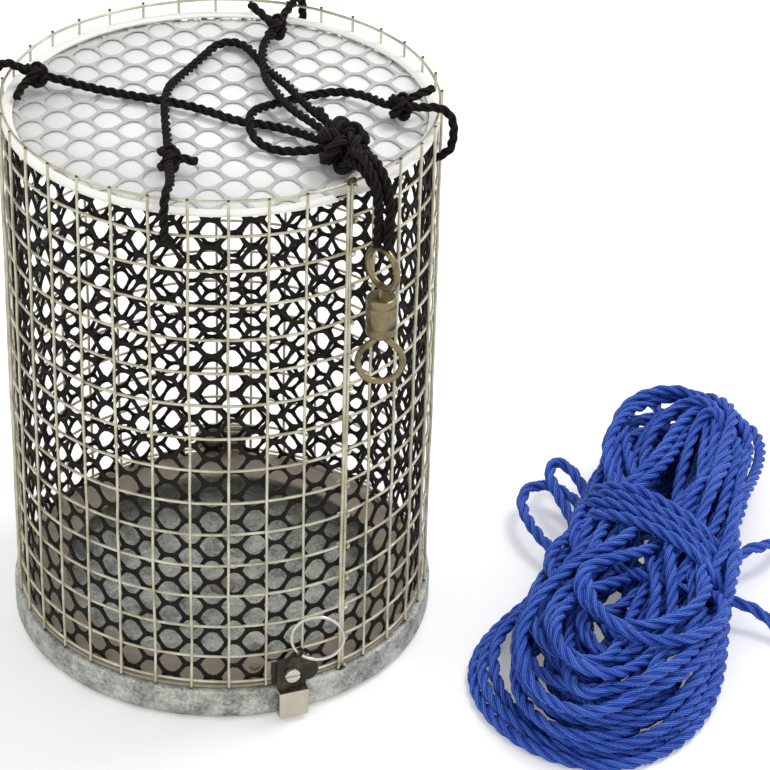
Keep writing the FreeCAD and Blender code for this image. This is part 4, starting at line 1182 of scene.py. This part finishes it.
@dataclass(frozen=True)
class RopeHank:
    """The blue laid rope, gathered in a hank that is lashed round its waist."""
    diameter: float = 4.7
    pitch: float = 21.0
    sides: int = 4
    step: float = 0.0017
    path_step: float = 0.004
    turns: int = 29
    seed: int = 11
    middle: Flat = (151.0, -8.0)
    lean: float = 17.4
    floor: float = 2.25
    ceiling: float = 42.0
    loft: float = 13.0
    waist_reach: float = 16.0
    waist_rise: float = 4.5
    lobe_reach: float = 50.0
    wrap_step: float = 5.2
    wrap_slant: float = 0.42
    pinned: int = 6
    relax_steps: int = 160
    push_share: float = 0.4
    stiffness: float = 0.22
    length_share: float = 0.3
    plan_share: float = 0.02
    sink: float = 0.015
    smooth_steps: int = 10
    top_turn: int = 17
    top_loop: tuple[Flat, ...] = ((179.0, 103.0), (177.5, 114.0), (171.0, 119.5), (165.0, 111.0),
                                  (163.5, 92.0))
    right_turn: int = 14
    right_loop: tuple[Flat, ...] = ((199.0, 40.0), (205.0, 60.0), (211.0, 80.0), (211.0, 95.0),
                                    (204.0, 104.0), (192.0, 101.0))
    left_loops: tuple[Flat, ...] = ((120.0, 12.0), (110.0, 34.0), (108.5, 50.0), (116.0, 63.0),
                                    (127.0, 60.0), (134.0, 45.0), (138.0, 28.0))
    low_loops: tuple[Flat, ...] = ((142.0, 40.0), (136.0, 60.0), (130.0, 75.0), (122.5, 74.0),
                                   (121.0, 58.0), (127.0, 38.0), (136.0, 12.0))
    loose: tuple[Flat, ...] = ((124.0, -30.0), (124.0, -54.0), (132.0, -71.0), (146.0, -77.0),
                               (160.0, -76.0), (174.0, -66.0), (181.0, -52.0), (180.0, -38.0),
                               (172.0, -24.0))
    end_lower: tuple[Point, ...] = ((201.0, -34.0, 4.2), (196.6, -28.2, 6.8), (190.0, -23.6, 9.4),
                                    (183.2, -21.8, 10.5), (172.0, -20.0, 12.0), (152.0, -12.0, 10.0),
                                    (134.0, 0.0, 8.0))
    end_upper: tuple[Point, ...] = ((133.0, -24.0, 29.0), (147.0, -30.0, 31.0), (162.0, -34.0, 31.0),
                                    (177.0, -35.0, 28.0), (184.5, -29.0, 22.0), (183.0, -18.0, 15.0),
                                    (176.0, -6.0, 12.0), (183.0, 4.0, 12.0), (195.6, 8.9, 12.0),
                                    (200.5, 11.5, 11.0), (205.6, 17.0, 8.8), (208.4, 23.6, 6.2))
    fibre: LaidFibre = LaidFibre("blue_rope", lit(36, 82, 198), lit(112, 152, 234), lit(12, 34, 118), 5.0,
                                 0.5, 0.6, 0.3)

    def build(self) -> None:
        line = route_line(self.settled(self.laid()) * MM)
        lay = Lay(self.diameter * MM, self.pitch * MM, sides=self.sides, step=self.step)
        rope = strand_mesh("rope_laid", [line], lay, self.fibre.material())
        settle(rope, Body.BASE, "rope_blue", "rope_hank", "rope_end_upper", "rope_end_lower")
        LOG.info("rope %.2f m", length_of(line))

    def at(self, along: float, across: float) -> Flat:
        """A point of the plan from the hank's own directions, along it and across to the right."""
        turn = math.radians(self.lean)
        return (self.middle[0] + along * math.sin(turn) + across * math.cos(turn),
                self.middle[1] + along * math.cos(turn) - across * math.sin(turn))

    def along(self, point: np.ndarray) -> float:
        """How far up the hank a point lies from its waist."""
        turn = math.radians(self.lean)
        return ((point[0] - self.middle[0]) * math.sin(turn)
                + (point[1] - self.middle[1]) * math.cos(turn))

    def ring(self, draw: np.random.Generator, number: int) -> list[Flat]:
        """One turn round the hank: down the left, round the lower lobe, up the right, over the top."""
        share = number / (self.turns - 1)
        left = -31 + 52 * draw.random() * share ** 0.5
        right = 35 - 44 * draw.random() * share ** 0.5
        low = -101 + 58 * draw.random() * min(1.0, share * 2.5)
        low_left = -38 + 40 * draw.random() * min(1.0, share * 2)
        if number < 3:
            low_left = -52 + 1.6 * number
        low_right = 38 - 38 * draw.random() * min(1.0, share * 2)
        high = 112 - 30 * draw.random()
        high_left = -28 + 36 * draw.random()
        high_right = 30 - 22 * draw.random()
        sway = draw.uniform(-8, 8)
        shape = [(2, left), (-22, left * 0.55 + low_left * 0.45), (low * 0.52, low_left),
                 (low * 0.78, low_left * 0.86), (low * 0.97, low_left * 0.42), (low * 1.03, 4 + sway),
                 (low * 0.93, low_right * 0.62), (low * 0.66, low_right * 0.98),
                 (low * 0.34, low_right), (-6, right), (24, right * 0.8 + 4),
                 (high * 0.55, high_right), (high * 0.84, high_right * 1.02),
                 (high, high_right * 0.55), (high * 1.03, (high_right + high_left) / 2),
                 (high * 0.92, high_left * 0.9), (high * 0.66, high_left),
                 (high * 0.33, high_left * 0.7 + left * 0.3)]
        return [self.at(*point) for point in shape]

    def laid(self) -> np.ndarray:
        """The whole rope from the lower free end to the upper one; height 0 is settled later."""
        draw = np.random.default_rng(self.seed)
        rings = [self.ring(draw, number) for number in range(self.turns)]
        rings[self.top_turn][13:15] = self.top_loop
        rings[self.right_turn][11:14] = self.right_loop
        plan = [spot for ring in (*rings, self.loose) for spot in ring]
        route: list[Point] = list(self.end_lower)
        for spots, height in ((self.left_loops, 13.0), (self.low_loops, 15.0), (plan, 0.0)):
            route += [(*spot, height) for spot in spots]
        for number in range(4):
            route += self.wrap(number)
        return np.array(route + list(self.end_upper))

    def wrap(self, number: int) -> list[Point]:
        """One lashing turn over and under the waist."""
        slip = self.wrap_step * (number - 1.5)
        over = [(slip + 8, across, height) for across, height in (
            (-33, 9), (-31, 23), (-21, 34), (-6, 38.5), (10, 38.5), (25, 34), (36, 22), (38, 9))]
        under = [(slip + 10, across, self.floor) for across in (30, 10, -10, -27)]
        return [(*self.at(along - self.wrap_slant * across, across), height)
                for along, across, height in over + under]

    def piled(self, line: np.ndarray, held: np.ndarray) -> None:
        """Give each unheld point a height on top of what was laid before it."""
        gap, count = self.diameter, len(line)
        for i in np.flatnonzero(~held):
            before = line[:max(0, i - 4)]
            flat = ((before[:, :2] - line[i, :2]) ** 2).sum(axis=1)
            near = flat < gap * gap
            along = self.along(line[i])
            waist = math.exp(-(along / self.waist_reach) ** 2)
            lobe = 1 + 0.7 * min(1.0, max(-0.5, along / self.lobe_reach))
            base = self.floor + self.waist_rise * waist + self.loft * lobe * (1 - 0.5 * waist) * i / count
            top = base
            if near.any():
                top = (before[near, 2] + np.sqrt(gap * gap - flat[near]) * 0.95).max()
            line[i, 2] = min(max(base, top), self.ceiling - 8 - 7 * waist)
        for _ in range(2):
            line[1:-1, 2] = np.where(held[1:-1], line[1:-1, 2],
                                     (line[:-2, 2] + line[1:-1, 2] * 2 + line[2:, 2]) / 4)

    def settled(self, route: np.ndarray) -> np.ndarray:
        """Lay the unheld stretch as a pile, then push strands apart and relax their bends."""
        gap, ends = self.diameter, self.pinned
        line = evenly(route_line(route), gap)
        held = line[:, 2] > 1.0
        held[:ends] = True
        rest = line.copy()
        self.piled(line, held)
        for turn in range(self.relax_steps):
            if turn % 8 == 0:
                low, high = self.close_pairs(line, gap * 1.5)
            step = line[high] - line[low]
            far = np.linalg.norm(step, axis=1) + 1e-9
            push = step / far[:, None] * (np.clip(gap - far, 0, None) * self.push_share)[:, None]
            np.add.at(line, high, push)
            np.add.at(line, low, -push)
            bend = (line[:-2] + line[2:]) / 2 - line[1:-1]
            line[1:-1] += bend * self.stiffness
            stretch = line[1:] - line[:-1]
            size = np.linalg.norm(stretch, axis=1) + 1e-9
            fix = stretch / size[:, None] * ((size - gap) * self.length_share)[:, None]
            line[:-1] += fix
            line[1:] -= fix
            line[:, :2] += (rest[:, :2] - line[:, :2]) * self.plan_share
            line[:, 2] = np.clip(line[:, 2] - self.sink, self.floor, self.ceiling)
            line[:ends] = rest[:ends]
            line[-ends:] = rest[-ends:]
        for _ in range(self.smooth_steps):
            line[6:-6] = (line[5:-7] + line[6:-6] * 2 + line[7:-5]) / 4
        return line

    @staticmethod
    def close_pairs(line: np.ndarray, reach: float) -> tuple[np.ndarray, np.ndarray]:
        """Pairs of points that are near each other but not neighbours along the rope."""
        firsts, seconds = [], []
        for start in range(0, len(line), 256):
            block = line[start:start + 256]
            flat = ((block[:, None] - line[None]) ** 2).sum(axis=2)
            a, b = np.nonzero(flat < reach * reach)
            keep = b > a + start + 3
            firsts.append(a[keep] + start)
            seconds.append(b[keep])
        return np.concatenate(firsts), np.concatenate(seconds)


# -------------------------------------------------------------------------------------- studio

@dataclass(frozen=True)
class Eye:
    """Where the camera stands and how it is turned, in metres and degrees."""
    place: Point = (0.0, -0.94025, 0.68714)
    yaw: float = 3.474
    dip: float = 32.397
    roll: float = 1.683
    lens: float = 148.58

    def set_up(self) -> None:
        """Make the scene's camera."""
        yaw, dip, roll = (math.radians(angle) for angle in (self.yaw, self.dip, self.roll))
        ahead = Vector((math.sin(yaw) * math.cos(dip), math.cos(yaw) * math.cos(dip), -math.sin(dip)))
        level = Vector((math.cos(yaw), -math.sin(yaw), 0))
        rise = level.cross(ahead)
        right = level * math.cos(roll) + rise * math.sin(roll)
        up = rise * math.cos(roll) - level * math.sin(roll)
        data = bpy.data.cameras.new("eye")
        data.lens = self.lens
        data.sensor_width = 36.0
        data.clip_end = 50.0
        camera = linked("eye", data)
        turn = Matrix((right, up, -ahead)).transposed().to_4x4()
        camera.matrix_world = Matrix.Translation(self.place) @ turn
        bpy.context.scene.camera = camera


@dataclass(frozen=True)
class Studio:
    """A white sweep, an even sky and one broad soft lamp."""
    floor_half: float = 3.5
    floor_colour: Colour = (0.93, 0.93, 0.925)
    floor_lift: float = 0.23
    sky: float = 0.86
    lamp_place: Point = (0.75, 0.35, 1.5)
    lamp_aim: Point = (0.06, 0.0, 0.05)
    lamp_side: float = 0.55
    lamp_power: float = 7.5

    def build(self) -> None:
        """Make the floor, the sky and the lamp."""
        self.floor()
        self.world()
        data = bpy.data.lights.new("soft_lamp", "AREA")
        data.shape = "DISK"
        data.size = self.lamp_side
        data.energy = self.lamp_power
        lamp = linked("soft_lamp", data)
        lamp.location = self.lamp_place
        aim = Vector(self.lamp_aim) - Vector(self.lamp_place)
        lamp.rotation_euler = aim.to_track_quat("-Z", "Y").to_euler()
        bpy.context.scene.view_settings.view_transform = "Standard"

    def floor(self) -> None:
        """A large matt plane that reads white to the camera and keeps shadows."""
        shade = Shade("studio_floor")
        seen = shade.node("ShaderNodeLightPath", output="Is Camera Ray")
        lift = shade.node("ShaderNodeCombineColor", dict.fromkeys(range(3), seen * self.floor_lift))
        shade.feed(Base_Color=solid(self.floor_colour), Roughness=0.9, Emission_Strength=1.0,
                   Emission_Color=lift)
        half = self.floor_half
        corners = [(-half, -half, 0.0), (half, -half, 0.0), (half, half, 0.0), (-half, half, 0.0)]
        new_object("studio_sweep", corners, [(0, 1, 2, 3)], shade.material)

    def world(self) -> None:
        """An even sky that shows white to the camera and in mirrors."""
        world = bpy.data.worlds.new("sky")
        world.use_nodes = True
        tree = Nodes(world.node_tree, "ShaderNode")
        tree.tree.nodes.clear()
        path = tree.node("LightPath", output="Is Camera Ray")
        total = path
        for name in ("Is Glossy Ray", "Is Transmission Ray"):
            total = tree.math("MAXIMUM", total, path.beside(name))
        strength = tree.node("MapRange", Value=total, To_Min=self.sky, To_Max=1.0)
        sky = tree.node("Background", Strength=strength, Color=(1.0, 1.0, 1.0, 1.0))
        tree.plug(tree.tree.nodes.new("ShaderNodeOutputWorld").inputs["Surface"], sky)
        bpy.context.scene.world = world


# ---------------------------------------------------------------------------------------- main

def write_sizes() -> None:
    """Update the view layer."""
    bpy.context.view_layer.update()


def main() -> None:
    """Build every group of pieces, the studio and the camera."""
    logging.basicConfig(level=logging.INFO, format="%(name)s %(message)s")
    for group in (WireGrid(), HexNet(), SheetAndCasting(), Latch(), Swivel(), Bridle(), RopeHank()):
        LOG.info("building %s", type(group).__name__)
        group.build()
    Studio().build()
    Eye().set_up()
    write_sizes()


if __name__ == "__main__":
    main()
